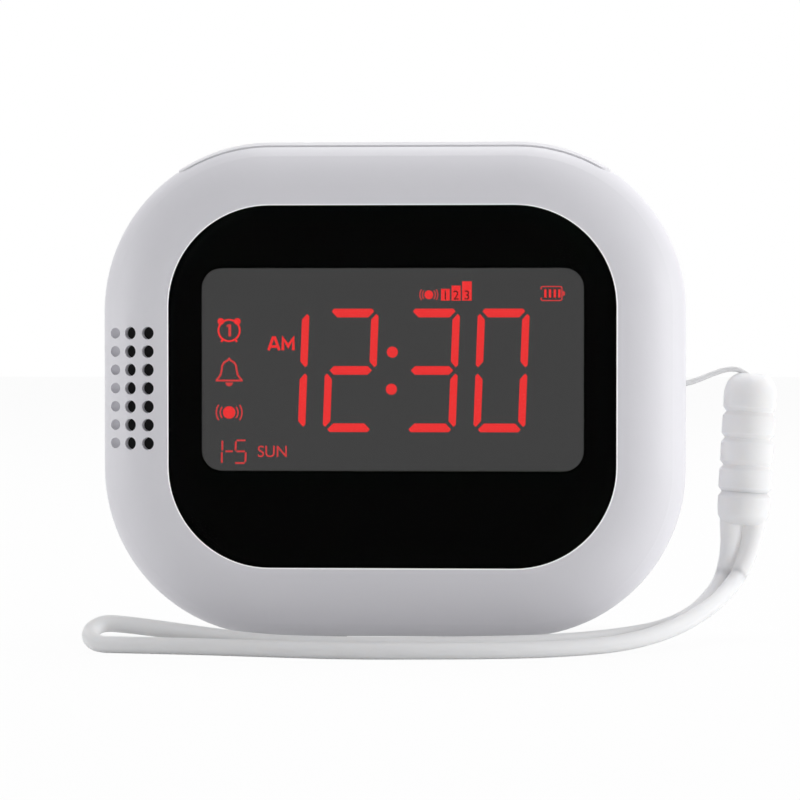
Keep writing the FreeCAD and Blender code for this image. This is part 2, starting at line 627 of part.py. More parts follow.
def rear_cover():
    """The shallow back moulding with key holes, switch slots and the socket's opening."""
    body = new_body("rear_cover")
    shell = pad(body, "cover_shell", "Y", s.part_y, s.back_y,
                rounded(ZERO, s.centre_z, s.body_width, s.body_height, s.corner_radius))
    doc.recompute()
    back_edge = body.newObject("PartDesign::Fillet", "back_edge")
    back_edge.Base = (shell, edges_at(shell, s.back_y))
    bind(back_edge, Radius=s.cover_round)
    doc.recompute()
    inset = s.wall
    hollow = pocket(body, "cover_hollow", "Y", s.part_y, s.cover_inner,
                    rounded(ZERO, s.centre_z, s.body_width - 2 * inset,
                            s.body_height - 2 * inset, s.corner_radius - inset))
    doc.recompute()
    inner_edge = body.newObject("PartDesign::Fillet", "inner_edge")
    inner_edge.Base = (hollow, edges_at(hollow, s.cover_inner))
    bind(inner_edge, Radius=s.cover_round - s.wall)
    doc.recompute()
    outer = s.wall - s.lip_thickness
    pad(body, "cover_lip", "Y", s.part_y - s.lip_height, s.part_y + s.lip_thickness,
        rounded(ZERO, s.centre_z, s.body_width - 2 * outer, s.body_height - 2 * outer,
                s.corner_radius - outer),
        rounded(ZERO, s.centre_z, s.body_width - 2 * inset, s.body_height - 2 * inset,
                s.corner_radius - inset))
    corners = four_corners(s.boss_x, s.boss_rise, s.centre_z)
    pad(body, "cover_bosses", "Y", s.part_y, s.cover_inner + s.wall / 2,
        *[("circle", x, z, s.boss_radius) for x, z in corners])
    posts = four_corners(s.key_board_post, s.key_board_post_rise,
                         s.centre_z + s.key_board_rise)
    pad(body, "key_board_posts", "Y", s.key_board_y, s.cover_inner + s.wall / 2,
        *[("circle", x, z, s.post_radius) for x, z in posts])
    doc.recompute()
    pocket(body, "case_screw_ways", "Y", s.part_y - s.overrun, s.back_y + s.overrun,
           *[("circle", x, z, s.screw_shank_radius + s.fit_gap) for x, z in corners])
    pocket(body, "case_screw_seats", "Y", s.back_y - s.screw_sink - s.screw_head_height,
           s.back_y + s.overrun,
           *[("circle", x, z, s.screw_head_radius + s.fit_gap) for x, z in corners])
    pocket(body, "key_board_screw_holes", "Y", s.key_board_y - s.overrun,
           s.key_board_y + s.small_bite - s.board_thickness + s.fit_gap,
           *[("circle", x, z, s.small_shank_radius + s.thread_gap) for x, z in posts])
    pocket(body, "key_holes", "Y", s.part_y, s.back_y + s.overrun,
           *[("circle", x, z, s.key_radius + s.key_gap) for x, z in key_places()])
    for side, label in ((-1, "left"), (1, "right")):
        x, z = side * s.switch_x, s.centre_z + s.switch_rise
        pocket(body, f"{label}_switch_slot", "Y", s.part_y, s.back_y + s.overrun,
               rounded(x, z, s.knob_stem + 2 * (s.switch_travel + s.slot_gap),
                       s.knob_stem_width + 2 * s.fit_gap, s.knob_stem_width / 8))
        pocket(body, f"{label}_switch_dish", "Y", s.back_y - s.knob_dish, s.back_y + s.overrun,
               rounded(x, z, s.knob_grip + 2 * (s.switch_travel + s.dish_margin),
                       s.switch_width, s.knob_stem_width / 2))
    pocket(body, "usb_opening", "Y", s.part_y, s.back_y + s.overrun,
           rounded(ZERO, s.centre_z + s.switch_rise, s.usb_width + 2 * s.fit_gap,
                   s.usb_height + 2 * s.fit_gap, s.usb_height * USB_ROUND_SHARE))
    return keep(body)


USB_ROUND_SHARE = 0.45


def key_places():
    spread = (-1.5, -0.5, 0.5, 1.5)
    return [(s.key_pitch * step, s.centre_z + s.key_rise) for step in spread]


def rubber_feet():
    body = new_body("rubber_feet")
    pad(body, "foot_pads", "Z", ZERO, s.foot_height + s.foot_seat,
        *[rounded(side * s.foot_spread, front * s.foot_pitch, s.foot_length, s.foot_width,
                  s.foot_corner)
          for side in (-1, 1) for front in (-1, 1)])
    return keep(body)


def case_screws():
    seat = s.back_y - s.screw_sink - s.screw_head_height
    length = seat - s.part_y + s.screw_bite
    pieces = [screw(f"case_screw_{number}", x, seat, z, s.screw_shank_radius,
                    s.screw_head_radius, s.screw_head_height, length)
              for number, (x, z) in enumerate(four_corners(s.boss_x, s.boss_rise, s.centre_z))]
    return keep(group("case_screws", pieces))


# Window and display

def display_lens():
    body = new_body("display_lens")
    trim = 2 * s.lens_gap
    plate = pad(body, "lens_plate", "Y", s.front_y, s.lens_back,
                rounded(ZERO, s.lens_z, s.pocket_width - trim, s.pocket_height - trim,
                        s.pocket_radius - s.lens_gap))
    doc.recompute()
    bevel = body.newObject("PartDesign::Chamfer", "lens_bevel")
    bevel.Base = (plate, edges_at(plate, s.front_y))
    bind(bevel, Size=s.lens_bevel)
    return keep(body)


def lens_mask():
    body = new_body("lens_mask")
    trim = 2 * s.lens_gap
    pad(body, "mask_film", "Y", s.lens_back, s.seat_y,
        rounded(ZERO, s.lens_z, s.pocket_width - trim, s.pocket_height - trim,
                s.pocket_radius - s.lens_gap),
        rounded(ZERO, s.window_z, s.window_width, s.window_height, s.window_radius))
    return keep(body)


def lcd_glass():
    body = new_body("lcd_glass")
    pad(body, "glass_plate", "Y", s.seat_y, s.glass_back, glass_outline(ZERO))
    return keep(body)


def glass_outline(grow):
    return rounded(ZERO, s.window_z, s.window_width + 2 * (s.glass_margin + grow),
                   s.window_height + 2 * (s.glass_margin + grow), s.frame_corner)


def lcd_frame():
    body = new_body("lcd_frame")
    pad(body, "frame_ring", "Y", s.ledge_y, s.board_front,
        glass_outline(s.fit_gap + s.frame_wall), glass_outline(s.fit_gap))
    pad(body, "frame_web", "Y", s.diffuser_back, s.board_front,
        glass_outline(s.fit_gap + s.frame_wall / 2), glass_outline(-s.web_width))
    return keep(body)


def backlight_diffuser():
    body = new_body("backlight_diffuser")
    pad(body, "diffuser_plate", "Y", s.glass_back, s.diffuser_back, glass_outline(ZERO))
    return keep(body)


def backlight_leds():
    pieces = []
    for number, share in enumerate(LED_SHARES):
        x = s.window_width * share
        pieces.append(brick(f"led_{number}", x - s.led_length / 2, x + s.led_length / 2,
                            s.board_front - s.led_height, s.board_front,
                            s.window_z - s.led_width / 2, s.window_z + s.led_width / 2))
    return keep(group("backlight_leds", pieces))


# Boards and chassis

def main_board():
    body = new_body("main_board")
    pad(body, "board_plate", "Y", s.board_front, s.board_back,
        rounded(ZERO, s.centre_z, s.board_width, s.board_height, s.board_corner))
    return keep(body)


def board_chips():
    pieces = []
    for number, (along, up, share) in enumerate(CHIP_SHARES):
        half = s.chip_size * share / 2
        x = s.board_width * along
        z = s.centre_z + s.board_height * up
        pieces.append(brick(f"chip_{number}", x - half, x + half, s.board_back,
                            s.board_back + s.chip_height, z - half, z + half))
    return keep(group("board_chips", pieces))


def battery_bounds(grow):
    half = s.battery_width / 2 + grow
    z = s.centre_z + s.battery_rise
    return rounded(ZERO, z, 2 * half, s.battery_height + 2 * grow, s.battery_round + grow)


def chassis():
    """The inner frame: plate, board standoffs, battery tray and the motor's saddle."""
    body = new_body("chassis")
    pad(body, "chassis_plate", "Y", s.chassis_front, s.chassis_back,
        rounded(ZERO, s.centre_z, s.chassis_width, s.chassis_height, s.chassis_corner))
    pad(body, "board_standoffs", "Y", s.board_back, s.chassis_front,
        *[("circle", x, z, s.standoff_radius)
          for x, z in four_corners(s.standoff_x, s.standoff_rise, s.centre_z)])
    pad(body, "battery_tray", "Y", s.chassis_back, s.chassis_back + s.tray_depth,
        battery_bounds(s.fit_gap + s.tray_wall), battery_bounds(s.fit_gap))
    left, right = saddle_ends()
    half = s.sleeve_radius + s.saddle_side
    pad(body, "motor_saddle", "X", left, right,
        boxed(s.chassis_back, s.motor_y, s.motor_z - half, s.motor_z + half))
    pocket(body, "saddle_bore", "X", left - s.overrun, right + s.overrun,
           ("circle", s.motor_y, s.motor_z, s.sleeve_radius))
    pocket(body, "saddle_screw_holes", "Y", s.motor_y - s.small_bite, s.motor_y + s.overrun,
           *[("circle", x, z, s.small_shank_radius + s.thread_gap)
             for x, z in clamp_screw_places()])
    pocket(body, "chassis_screw_ways", "Y", s.chassis_front - s.overrun,
           s.chassis_back + s.overrun,
           *[("circle", x, z, s.small_shank_radius + s.fit_gap)
             for x, z in four_corners(s.post_x, s.post_rise, s.centre_z)])
    top = s.centre_z + s.chassis_height / 2 + s.overrun
    pocket(body, "snooze_notch", "Y", s.board_back - s.overrun,
           s.chassis_back + s.tray_depth + s.overrun,
           boxed(-s.tact_size, s.tact_size, snooze_switch_low() - s.fit_gap, top))
    edge = s.chassis_width / 2
    for label, z in (("battery", battery_lead_z()), ("motor", motor_lead_z())):
        pocket(body, f"{label}_lead_notch", "Y", s.chassis_front - s.overrun,
               s.chassis_back + s.overrun,
               boxed(edge - s.notch_depth, edge + s.overrun,
                     z - s.notch_height / 2, z + s.notch_height / 2))
    wide = s.socket_width / 2 + s.fit_gap
    tall = s.ribbon_width / 2 + s.socket_side + s.fit_gap
    pocket(body, "ribbon_slot", "Y", s.chassis_front - s.overrun, s.chassis_back + s.overrun,
           boxed(-s.ribbon_x - wide, -s.ribbon_x + wide, ribbon_z() - tall, ribbon_z() + tall))
    return keep(body)


def saddle_ends():
    return s.motor_shift - s.saddle_length / 2, s.motor_shift + s.saddle_length / 2


def clamp_screw_places():
    rise = s.sleeve_radius + s.clamp_thickness + s.small_head_radius
    return [(s.motor_shift + side * s.clamp_screw_spread, s.motor_z + up * rise)
            for side in (-1, 1) for up in (-1, 1)]


def battery_lead_z():
    return s.centre_z + s.battery_lead_rise


def motor_lead_z():
    return s.centre_z - s.motor_lead_drop


def ribbon_z():
    return s.centre_z + s.battery_rise


def snooze_switch_low():
    return s.top_z - s.wall - s.snooze_switch_drop - s.tact_height


def chassis_screws():
    pieces = [screw(f"chassis_screw_{number}", x, s.chassis_back, z, s.small_shank_radius,
                    s.small_head_radius, s.small_head_height,
                    s.chassis_thickness + s.small_bite - s.fit_gap)
              for number, (x, z) in enumerate(four_corners(s.post_x, s.post_rise, s.centre_z))]
    return keep(group("chassis_screws", pieces))


def battery_pack():
    body = new_body("battery_pack")
    cell = pad(body, "battery_cell", "Y", s.chassis_back, s.chassis_back + s.battery_depth,
               battery_bounds(ZERO))
    doc.recompute()
    edges = body.newObject("PartDesign::Fillet", "battery_edges")
    edges.Base = (cell, edges_at(cell, s.chassis_back + s.battery_depth))
    bind(edges, Radius=s.battery_round / 2)
    return keep(body)


# Motor and eccentric weights

def motor_ends():
    return s.motor_shift - s.motor_length / 2, s.motor_shift + s.motor_length / 2


def motor_can():
    """Steel can with a bearing boss on its closed end."""
    left, right = motor_ends()
    body = new_body("motor_can")
    bore = s.shaft_radius + s.shaft_gap
    open_end = right - s.end_cap_length
    turned(body, "can_profile", "X", (s.motor_y, s.motor_z), FULL_TURN,
           [(left - s.bush_length, bore), (open_end, bore), (open_end, s.motor_radius),
            (left, s.motor_radius), (left, s.bush_radius), (left - s.bush_length, s.bush_radius)])
    return keep(body)


def motor_end_cap():
    """Plastic end of the motor with the second bearing boss and two terminals."""
    left, right = motor_ends()
    body = new_body("motor_end_cap")
    bore = s.shaft_radius + s.shaft_gap
    start = right - s.end_cap_length
    tip = right + s.bush_length
    turned(body, "end_cap_profile", "X", (s.motor_y, s.motor_z), FULL_TURN,
           [(start, bore), (tip, bore), (tip, s.bush_radius), (right, s.bush_radius),
            (right, s.motor_radius), (start, s.motor_radius)])
    half = s.terminal_size / 2
    pad(body, "terminals", "Z", s.motor_z + s.motor_radius * TERMINAL_SHARE,
        s.motor_z + s.motor_radius + s.terminal_size,
        *[boxed(right - s.end_cap_length / 2 - half, right - s.end_cap_length / 2 + half,
                s.motor_y + side * s.lead_pitch - half, s.motor_y + side * s.lead_pitch + half)
          for side in (-1, 1)])
    return keep(body)


TERMINAL_SHARE = 0.8


def motor_sleeve():
    body = new_body("motor_sleeve")
    pad(body, "sleeve_ring", "X", s.motor_shift - s.sleeve_length / 2,
        s.motor_shift + s.sleeve_length / 2,
        ("circle", s.motor_y, s.motor_z, s.sleeve_radius),
        ("circle", s.motor_y, s.motor_z, s.motor_radius))
    return keep(body)


def motor_clamp():
    """Half ring over the motor's back with an ear each side."""
    body = new_body("motor_clamp")
    left, right = saddle_ends()
    outer = s.sleeve_radius + s.clamp_thickness
    ear = s.sleeve_radius + s.saddle_side
    y, z = s.motor_y, s.motor_z
    pad(body, "clamp_arch", "X", left, right,
        [(y, z - outer, outer, 1), (y + outer, z, outer, 1), (y, z + outer),
         (y, z + s.sleeve_radius, s.sleeve_radius, -1), (y + s.sleeve_radius, z,
                                                         s.sleeve_radius, -1),
         (y, z - s.sleeve_radius)])
    for side, label in ((-1, "lower"), (1, "upper")):
        near = z + side * (s.sleeve_radius + s.clamp_thickness / 2)
        far = z + side * ear
        low, high = (far, near) if side < 0 else (near, far)
        pad(body, f"{label}_ear", "X", left, right, boxed(y, y + s.ear_thickness, low, high))
    pocket(body, "clamp_screw_ways", "Y", y - s.overrun, y + s.ear_thickness + s.overrun,
           *[("circle", px, pz, s.small_shank_radius + s.fit_gap)
             for px, pz in clamp_screw_places()])
    pocket(body, "sleeve_way", "X", left - s.overrun, right + s.overrun,
           ("circle", y, z, s.sleeve_radius))
    return keep(body)


def clamp_screws():
    pieces = [screw(f"clamp_screw_{number}", x, s.motor_y + s.ear_thickness, z,
                    s.small_shank_radius, s.small_head_radius, s.small_head_height,
                    s.ear_thickness + s.small_bite - s.fit_gap)
              for number, (x, z) in enumerate(clamp_screw_places())]
    return keep(group("clamp_screws", pieces))


def weight_spans():
    left, right = motor_ends()
    gap = s.bush_length + s.weight_gap
    return ((left - gap - s.weight_length, left - gap),
            (right + gap, right + gap + s.weight_length))


def motor_shaft():
    (start, _), (_, finish) = weight_spans()
    return keep(rod("motor_shaft", "X", start - s.shaft_tail, s.motor_y, s.motor_z,
                    s.shaft_radius, finish - start + 2 * s.shaft_tail))


def eccentric_weight(label, span):
    """A half disc with a round hub, its heavy side hanging down."""
    body = new_body(label)
    y, z = s.motor_y, s.motor_z
    r, hub = s.weight_radius, s.weight_hub
    pad(body, label + "_disc", "X", span[0], span[1],
        [(y - r, z, r, 1), (y, z - r, r, 1), (y + r, z), (y + hub, z, hub, 1),
         (y, z + hub, hub, 1), (y - hub, z)])
    pocket(body, label + "_bore", "X", span[0] - s.overrun, span[1] + s.overrun,
           ("circle", y, z, s.shaft_radius + s.thread_gap / 2))
    return keep(body)


# Speaker

def speaker_outline(inset, radius):
    return rounded(s.speaker_x, s.centre_z, s.speaker_width - 2 * inset,
                   s.speaker_length - 2 * inset, radius)


def speaker():
    """A slim oblong speaker behind the sound holes, facing them."""
    seat, front = s.speaker_seat, s.speaker_front
    back = front + s.speaker_depth
    edge = s.speaker_edge
    corner = s.speaker_corner
    gasket = new_body("speaker_gasket")
    pad(gasket, "gasket_ring", "Y", seat, front, speaker_outline(ZERO, corner),
        speaker_outline(edge, corner))
    basket = new_body("speaker_basket")
    pad(basket, "basket_ring", "Y", front, back, speaker_outline(ZERO, corner),
        speaker_outline(edge, corner))
    film = front + s.film_setback
    inner = edge + s.dome_margin
    surround = new_body("speaker_surround")
    pad(surround, "surround_ring", "Y", film, film + s.film_thickness,
        speaker_outline(edge, corner), speaker_outline(inner - s.dome_gap, corner))
    dome = new_body("speaker_dome")
    pad(dome, "dome_plate", "Y", film, film + s.film_thickness, speaker_outline(inner, corner))
    coil = inner + s.coil_inset
    pad(dome, "voice_coil", "Y", film, film + s.coil_depth, speaker_outline(coil, corner),
        speaker_outline(coil + s.coil_thickness, corner / 2))
    yoke = new_body("speaker_yoke")
    pad(yoke, "yoke_floor", "Y", back - s.yoke_wall, back, speaker_outline(edge, corner))
    pad(yoke, "yoke_rim", "Y", back - s.yoke_depth, back, speaker_outline(edge, corner),
        speaker_outline(edge + s.yoke_wall, corner / 2))
    magnet = new_body("speaker_magnet")
    around = coil + s.coil_thickness + s.coil_inset
    pad(magnet, "magnet_block", "Y", back - s.yoke_wall - s.magnet_depth, back - s.yoke_wall,
        speaker_outline(around, corner / 4))
    return [keep(body) for body in (gasket, basket, surround, dome, yoke, magnet)]


# Snooze button and its switch

def pad_section():
    """The button's skin: the housing's own curve, a little proud, with its inner face."""
    low = s.foot_height
    centre = low + s.rim_side_radius
    outer = s.rim_side_radius + s.pad_proud
    inner = s.rim_side_radius - s.wall - s.flange_gap - s.flange_thickness / 2
    start = s.pad_front - s.pad_gap
    run = s.rim_y - start
    back = s.pad_back + s.pad_gap
    return [(back, centre - outer), (s.rim_y, centre - outer, outer, -1),
            (start, centre - root(outer * outer - run * run)),
            (start, centre - root(inner * inner - run * run), inner, 1),
            (s.rim_y, centre - inner), (back, centre - inner)]


def snooze_button():
    """The long button in the housing's top, with a retaining flange and a pusher rib."""
    skin = new_body("button_skin")
    sweep(skin, "skin_ring", pad_section())
    top_half = new_body("button_plan")
    middle = (s.pad_front + s.pad_back) / 2
    low, high = s.centre_z + s.body_height / 4, s.top_z + s.overrun
    pad(top_half, "plan_block", "Z", low, high,
        rounded(ZERO, middle, 2 * s.pad_half_width, s.pad_length, s.pad_corner))
    cap = common("button_cap", skin, top_half)
    above = s.wall + s.flange_gap
    below = above + s.flange_thickness
    ring = new_body("flange_ring")
    pad(ring, "flange_band", "Y", s.rim_y + s.fit_gap, s.pad_back + s.flange_reach,
        rounded(ZERO, s.centre_z, s.body_width - 2 * above, s.body_height - 2 * above,
                s.corner_radius - above),
        rounded(ZERO, s.centre_z, s.body_width - 2 * below, s.body_height - 2 * below,
                s.corner_radius - below))
    half = s.pad_half_width + s.flange_reach
    around = brick("flange_plan", -half, half, s.front_y, s.back_y, low, high)
    flange = common("button_flange", ring, around)
    rib = brick("button_rib", -s.rib_width / 2, s.rib_width / 2,
                snooze_switch_y() - s.rib_depth / 2, snooze_switch_y() + s.rib_depth / 2,
                snooze_plunger_top(), s.top_z - s.wall)
    return keep(join("snooze_button", [cap, flange, rib]))


def snooze_switch_y():
    return s.board_back + s.tact_size / 2


def snooze_plunger_top():
    return snooze_switch_low() + s.tact_height + s.tact_plunger_proud


def snooze_switch():
    low = snooze_switch_low()
    half = s.tact_size / 2
    block = brick("snooze_switch_block", -half, half, s.board_back, s.board_back + s.tact_size,
                  low, low + s.tact_height)
    well = rod("snooze_switch_well", "Z", ZERO, snooze_switch_y(),
               low + s.tact_height - s.tact_well, s.tact_plunger_radius + s.tact_gap,
               s.tact_well + s.overrun)
    keep(cut("snooze_switch", block, well))
    top = snooze_plunger_top()
    bottom = low + s.tact_height - s.tact_plunger_sunk
    keep(rod("snooze_plunger", "Z", ZERO, snooze_switch_y(), bottom, s.tact_plunger_radius,
             top - bottom))


# Rear keys, slide switches and charging socket

def key_board():
    body = new_body("key_board")
    z = s.centre_z + s.key_board_rise
    pad(body, "key_board_plate", "Y", s.key_board_front, s.key_board_y,
        rounded(ZERO, z, s.key_board_width, s.key_board_height, s.board_corner))
    pocket(body, "key_board_ways", "Y", s.key_board_front - s.overrun,
           s.key_board_y + s.overrun,
           *[("circle", x, pz, s.small_shank_radius + s.fit_gap)
             for x, pz in four_corners(s.key_board_post, s.key_board_post_rise, z)])
    return keep(body)


def key_board_screws():
    """Screws that run backwards from the board's front into the cover's posts."""
    pieces = []
    z_centre = s.centre_z + s.key_board_rise
    places = four_corners(s.key_board_post, s.key_board_post_rise, z_centre)
    for number, (x, z) in enumerate(places):
        front = s.key_board_front
        shaft = rod(f"key_board_screw_shank_{number}", "Y", x, front, z,
                    s.small_shank_radius, s.small_bite)
        head = rod(f"key_board_screw_head_{number}", "Y", x, front - s.small_head_height, z,
                   s.small_head_radius, s.small_head_height)
        pieces.append(join(f"key_board_screw_{number}", [shaft, head]))
    return keep(group("key_board_screws", pieces))


KEY_NAMES = ("set", "mode", "down", "up")


def rear_keys():
    """Round keys through the cover, each over the plunger of a push switch on the board."""
    switches = []
    top = s.key_board_y + s.tact_height
    stem = top + s.tact_plunger_proud
    flange = s.cover_inner - s.flange_gap - s.key_flange_thickness
    crown = s.back_y + s.key_proud
    for name, (x, z) in zip(KEY_NAMES, key_places()):
        half = s.tact_size / 2
        block = brick(f"{name}_switch_block", x - half, x + half, s.key_board_y, top,
                      z - half, z + half)
        well = rod(f"{name}_switch_well", "Y", x, top - s.tact_well, z,
                   s.tact_plunger_radius + s.tact_gap, s.tact_well + s.overrun)
        switches.append(cut(f"{name}_switch", block, well))
        bottom = top - s.tact_plunger_sunk
        keep(rod(f"{name}_key_plunger", "Y", x, bottom, z, s.tact_plunger_radius,
                 stem - bottom))
        body = new_body(f"{name}_key")
        turned(body, f"{name}_key_profile", "Y", (x, z), FULL_TURN,
               [(stem, ZERO), (crown, ZERO), (crown, s.key_radius - s.key_round),
                (crown - s.key_round, s.key_radius),
                (s.cover_inner - s.flange_gap, s.key_radius),
                (s.cover_inner - s.flange_gap, s.key_radius + s.key_flange),
                (flange, s.key_radius + s.key_flange), (flange, s.key_stem_radius),
                (stem, s.key_stem_radius)])
        keep(body)
    return keep(group("key_switches", switches))


SWITCH_NAMES = ((-1, "sound"), (1, "alarm"))


def slide_switches():
    """Two slide switches on the key board, each with a lever inside a knob."""
    blocks = []
    z = s.centre_z + s.switch_rise
    top = s.key_board_y + s.switch_height
    for side, name in SWITCH_NAMES:
        x = side * s.switch_x
        block = brick(f"{name}_slide_block", x - s.switch_length / 2, x + s.switch_length / 2,
                      s.key_board_y, top, z - s.switch_width / 2, z + s.switch_width / 2)
        half = s.lever_size / 2
        reach = s.switch_travel + half + s.fit_gap
        groove = brick(f"{name}_slide_groove", x - reach, x + reach,
                       top - s.lever_sunk - s.fit_gap, top + s.overrun,
                       z - half - s.fit_gap, z + half + s.fit_gap)
        blocks.append(cut(f"{name}_slide_body", block, groove))
        keep(brick(f"{name}_slide_lever", x - half, x + half, top - s.lever_sunk,
                   top + s.lever_proud, z - half, z + half))
        keep(slide_knob(name, x, z, top))
    return keep(group("slide_switches", blocks))


def slide_knob(name, x, z, switch_top):
    """A knob whose stem runs through the cover's slot, with a plate inside and a grip."""
    low = switch_top + s.fit_gap * 3
    plate_back = s.cover_inner - s.flange_gap
    stem = brick(f"{name}_knob_stem", x - s.knob_stem / 2, x + s.knob_stem / 2, low,
                 s.back_y - s.knob_dish + s.fit_gap + s.knob_plate,
                 z - s.knob_stem_width / 2, z + s.knob_stem_width / 2)
    reach = s.knob_stem / 2 + s.switch_travel + s.key_flange
    plate = brick(f"{name}_knob_plate", x - reach, x + reach, plate_back - s.knob_plate,
                  plate_back, z - s.switch_width * KNOB_PLATE_SHARE,
                  z + s.switch_width * KNOB_PLATE_SHARE)
    dish = s.back_y - s.knob_dish + s.fit_gap
    ridges = [brick(f"{name}_knob_grip", x - s.knob_grip / 2, x + s.knob_grip / 2, dish,
                    dish + s.knob_plate, z - s.switch_width * KNOB_PLATE_SHARE,
                    z + s.switch_width * KNOB_PLATE_SHARE)]
    for step in (-1, 0, 1):
        ridge = s.knob_grip / 7
        middle = x + ridge * 2 * step
        ridges.append(brick(f"{name}_knob_ridge_{step + 1}", middle - ridge / 2,
                            middle + ridge / 2, dish, s.back_y + s.knob_proud,
                            z - s.switch_width * KNOB_PLATE_SHARE,
                            z + s.switch_width * KNOB_PLATE_SHARE))
    solid = join(f"{name}_knob_blank", [stem, plate] + ridges)
    half = s.lever_size / 2 + s.thread_gap
    socket = brick(f"{name}_knob_socket", x - half, x + half, low - s.overrun,
                   switch_top + s.lever_proud + s.thread_gap, z - half, z + half)
    return cut(f"{name}_slide_knob", solid, socket)


KNOB_PLATE_SHARE = 0.38


def charging_socket():
    """The oblong metal socket that faces backwards, with the tongue in its middle."""
    z = s.centre_z + s.switch_rise
    shell = new_body("charging_socket")
    front = s.key_board_y
    back = front + s.usb_depth
    pad(shell, "socket_shell", "Y", front, back,
        rounded(ZERO, z, s.usb_width, s.usb_height, s.usb_height * USB_ROUND_SHARE))
    pocket(shell, "socket_mouth", "Y", front + s.board_thickness, back + s.overrun,
           rounded(ZERO, z, s.usb_width - 2 * s.usb_wall, s.usb_height - 2 * s.usb_wall,
                   (s.usb_height - 2 * s.usb_wall) * USB_ROUND_SHARE))
    keep(shell)
    base = front + s.board_thickness
    half, thin = s.tongue_width / 2, s.tongue_thickness / 2
    keep(brick("socket_tongue", -half, half, base, base + s.tongue_depth, z - thin, z + thin))


# Wiring

def route_wire(points, label, diameter):
    """Straight runs joined by tangent arcs, each as large as its two runs allow."""
    spots = [V(*point) for point in points]
    edges = []
    radii = []
    start = spots[0]
    for before, corner, after in zip(spots, spots[1:], spots[2:]):
        first, second = corner - before, after - corner
        run = min(first.Length, second.Length)
        turn = first.getAngle(second)
        setback = RUN_SHARE * run
        radii.append(setback / math.tan(turn / 2))
        first.normalize()
        second.normalize()
        enter = corner - first * setback
        leave = corner + second * setback
        inward = (second - first).normalize()
        rise = radii[-1] * (1 - math.cos(turn / 2))
        middle = (enter + leave) / 2 - inward * rise
        edges.append(Part.makeLine(start, enter))
        edges.append(Part.Arc(enter, middle, leave).toShape())
        start = leave
    edges.append(Part.makeLine(start, spots[-1]))
    wire = Part.Wire(edges)
    print(f"{label}: length {wire.Length:.1f}, radii in diameters",
          [round(radius / diameter, 1) for radius in radii])
    return wire


RUN_SHARE = 0.45


def tube(label, points, diameter):
    """A round cord along a route, as one closed solid."""
    wire = route_wire(points, label, diameter)
    heading = V(*points[1]) - V(*points[0])
    ring = Part.Wire(Part.Circle(V(*points[0]), heading, diameter / 2).toShape())
    solid = wire.makePipeShell([ring], True, False)
    section = math.pi * diameter * diameter / 4
    print(f"{label}: volume over section times length {solid.Volume / section / wire.Length:.4f}")
    piece = doc.addObject("Part::Feature", label)
    piece.Label = label
    piece.Shape = solid
    return piece


def at(*items):
    return tuple(as_size(item).value for item in items)


def battery_leads():
    start = s.battery_width / 2 + s.thread_gap
    out_x = s.chassis_width / 2 - s.lead_diameter
    out_y = s.chassis_back + s.tray_depth + s.lead_diameter * 1.2
    turn = s.lead_diameter * 2.1
    pieces = []
    for side, label in ((-1, "lower"), (1, "upper")):
        z = battery_lead_z() + s.lead_pitch / 2 * side
        points = [at(start, out_y, z), at(out_x - turn, out_y, z), at(out_x, out_y - turn, z),
                  at(out_x, s.board_back + s.thread_gap, z)]
        pieces.append(tube(f"battery_lead_{label}", points, s.lead_diameter.value))
    return keep(group("battery_leads", pieces))


def motor_leads():
    x = motor_ends()[1] - s.end_cap_length / 2
    top = s.motor_z + s.motor_radius + s.terminal_size + s.thread_gap
    out_x = s.chassis_width / 2 - s.lead_diameter
    step = s.lead_diameter
    pieces = []
    for side, label in ((-1, "front"), (1, "back")):
        y = s.motor_y + s.lead_pitch * side
        end_z = motor_lead_z() + s.lead_pitch / 2 * side
        points = [at(x, y, top), at(x, y, top + step * 2.7),
                  at(x + step * 1.4, y - step, top + step * 5.1),
                  at(x + step * 7.0, y - step * 4.8, top + step * 6.4),
                  at(out_x - step * 2, s.board_back + step * 7, end_z + step * 1.2),
                  at(out_x, s.board_back + step * 4, end_z),
                  at(out_x, s.board_back + s.thread_gap, end_z)]
        pieces.append(tube(f"motor_lead_{label}", points, s.lead_diameter.value))
    return keep(group("motor_leads", pieces))


def speaker_leads():
    back = s.speaker_front + s.speaker_depth
    x = s.speaker_x
    land = -s.board_width / 2 + s.lead_diameter / 2
    step = s.lead_diameter
    pieces = []
    for side, label in ((-1, "lower"), (1, "upper")):
        z = s.centre_z + s.speaker_lead_rise + s.lead_pitch / 2 * side
        points = [at(x, back + s.thread_gap, z), at(x, back + step * 2.6, z),
                  at(x + step * 1.2, back + step * 4.8, z),
                  at(x + step * 3.2, back + step * 6.4, z),
                  at(land - step * 3.2, back + step * 6.4, z),
                  at(land - step * 1.2, back + step * 4.8, z), at(land, back + step * 2.5, z),
                  at(land, s.board_back + s.thread_gap, z)]
        pieces.append(tube(f"speaker_lead_{label}", points, s.lead_diameter.value))
    return keep(group("speaker_leads", pieces))


def board_ribbon():
    """Flat cable between the two boards, bowed a little, and the socket at each end."""
    body = new_body("board_ribbon")
    x = -s.ribbon_x
    start = s.board_back + s.socket_depth
    finish = s.key_board_front - s.socket_depth
    half = s.ribbon_thickness / 2
    pad(body, "ribbon_strip", "Z", ribbon_z() - s.ribbon_width / 2,
        ribbon_z() + s.ribbon_width / 2,
        [(x + half, start, s.ribbon_bow + half, 1), (x + half, finish),
         (x - half, finish, s.ribbon_bow - half, -1), (x - half, start)])
    keep(body)
    wide = s.socket_width / 2
    tall = s.ribbon_width / 2 + s.socket_side
    sockets = [brick(f"ribbon_socket_{label}", x - wide, x + wide, low, high,
                     ribbon_z() - tall, ribbon_z() + tall)
               for label, low, high in (("main", s.board_back, start),
                                        ("key", finish, s.key_board_front))]
    return keep(group("ribbon_sockets", sockets))


# Lanyard and strap

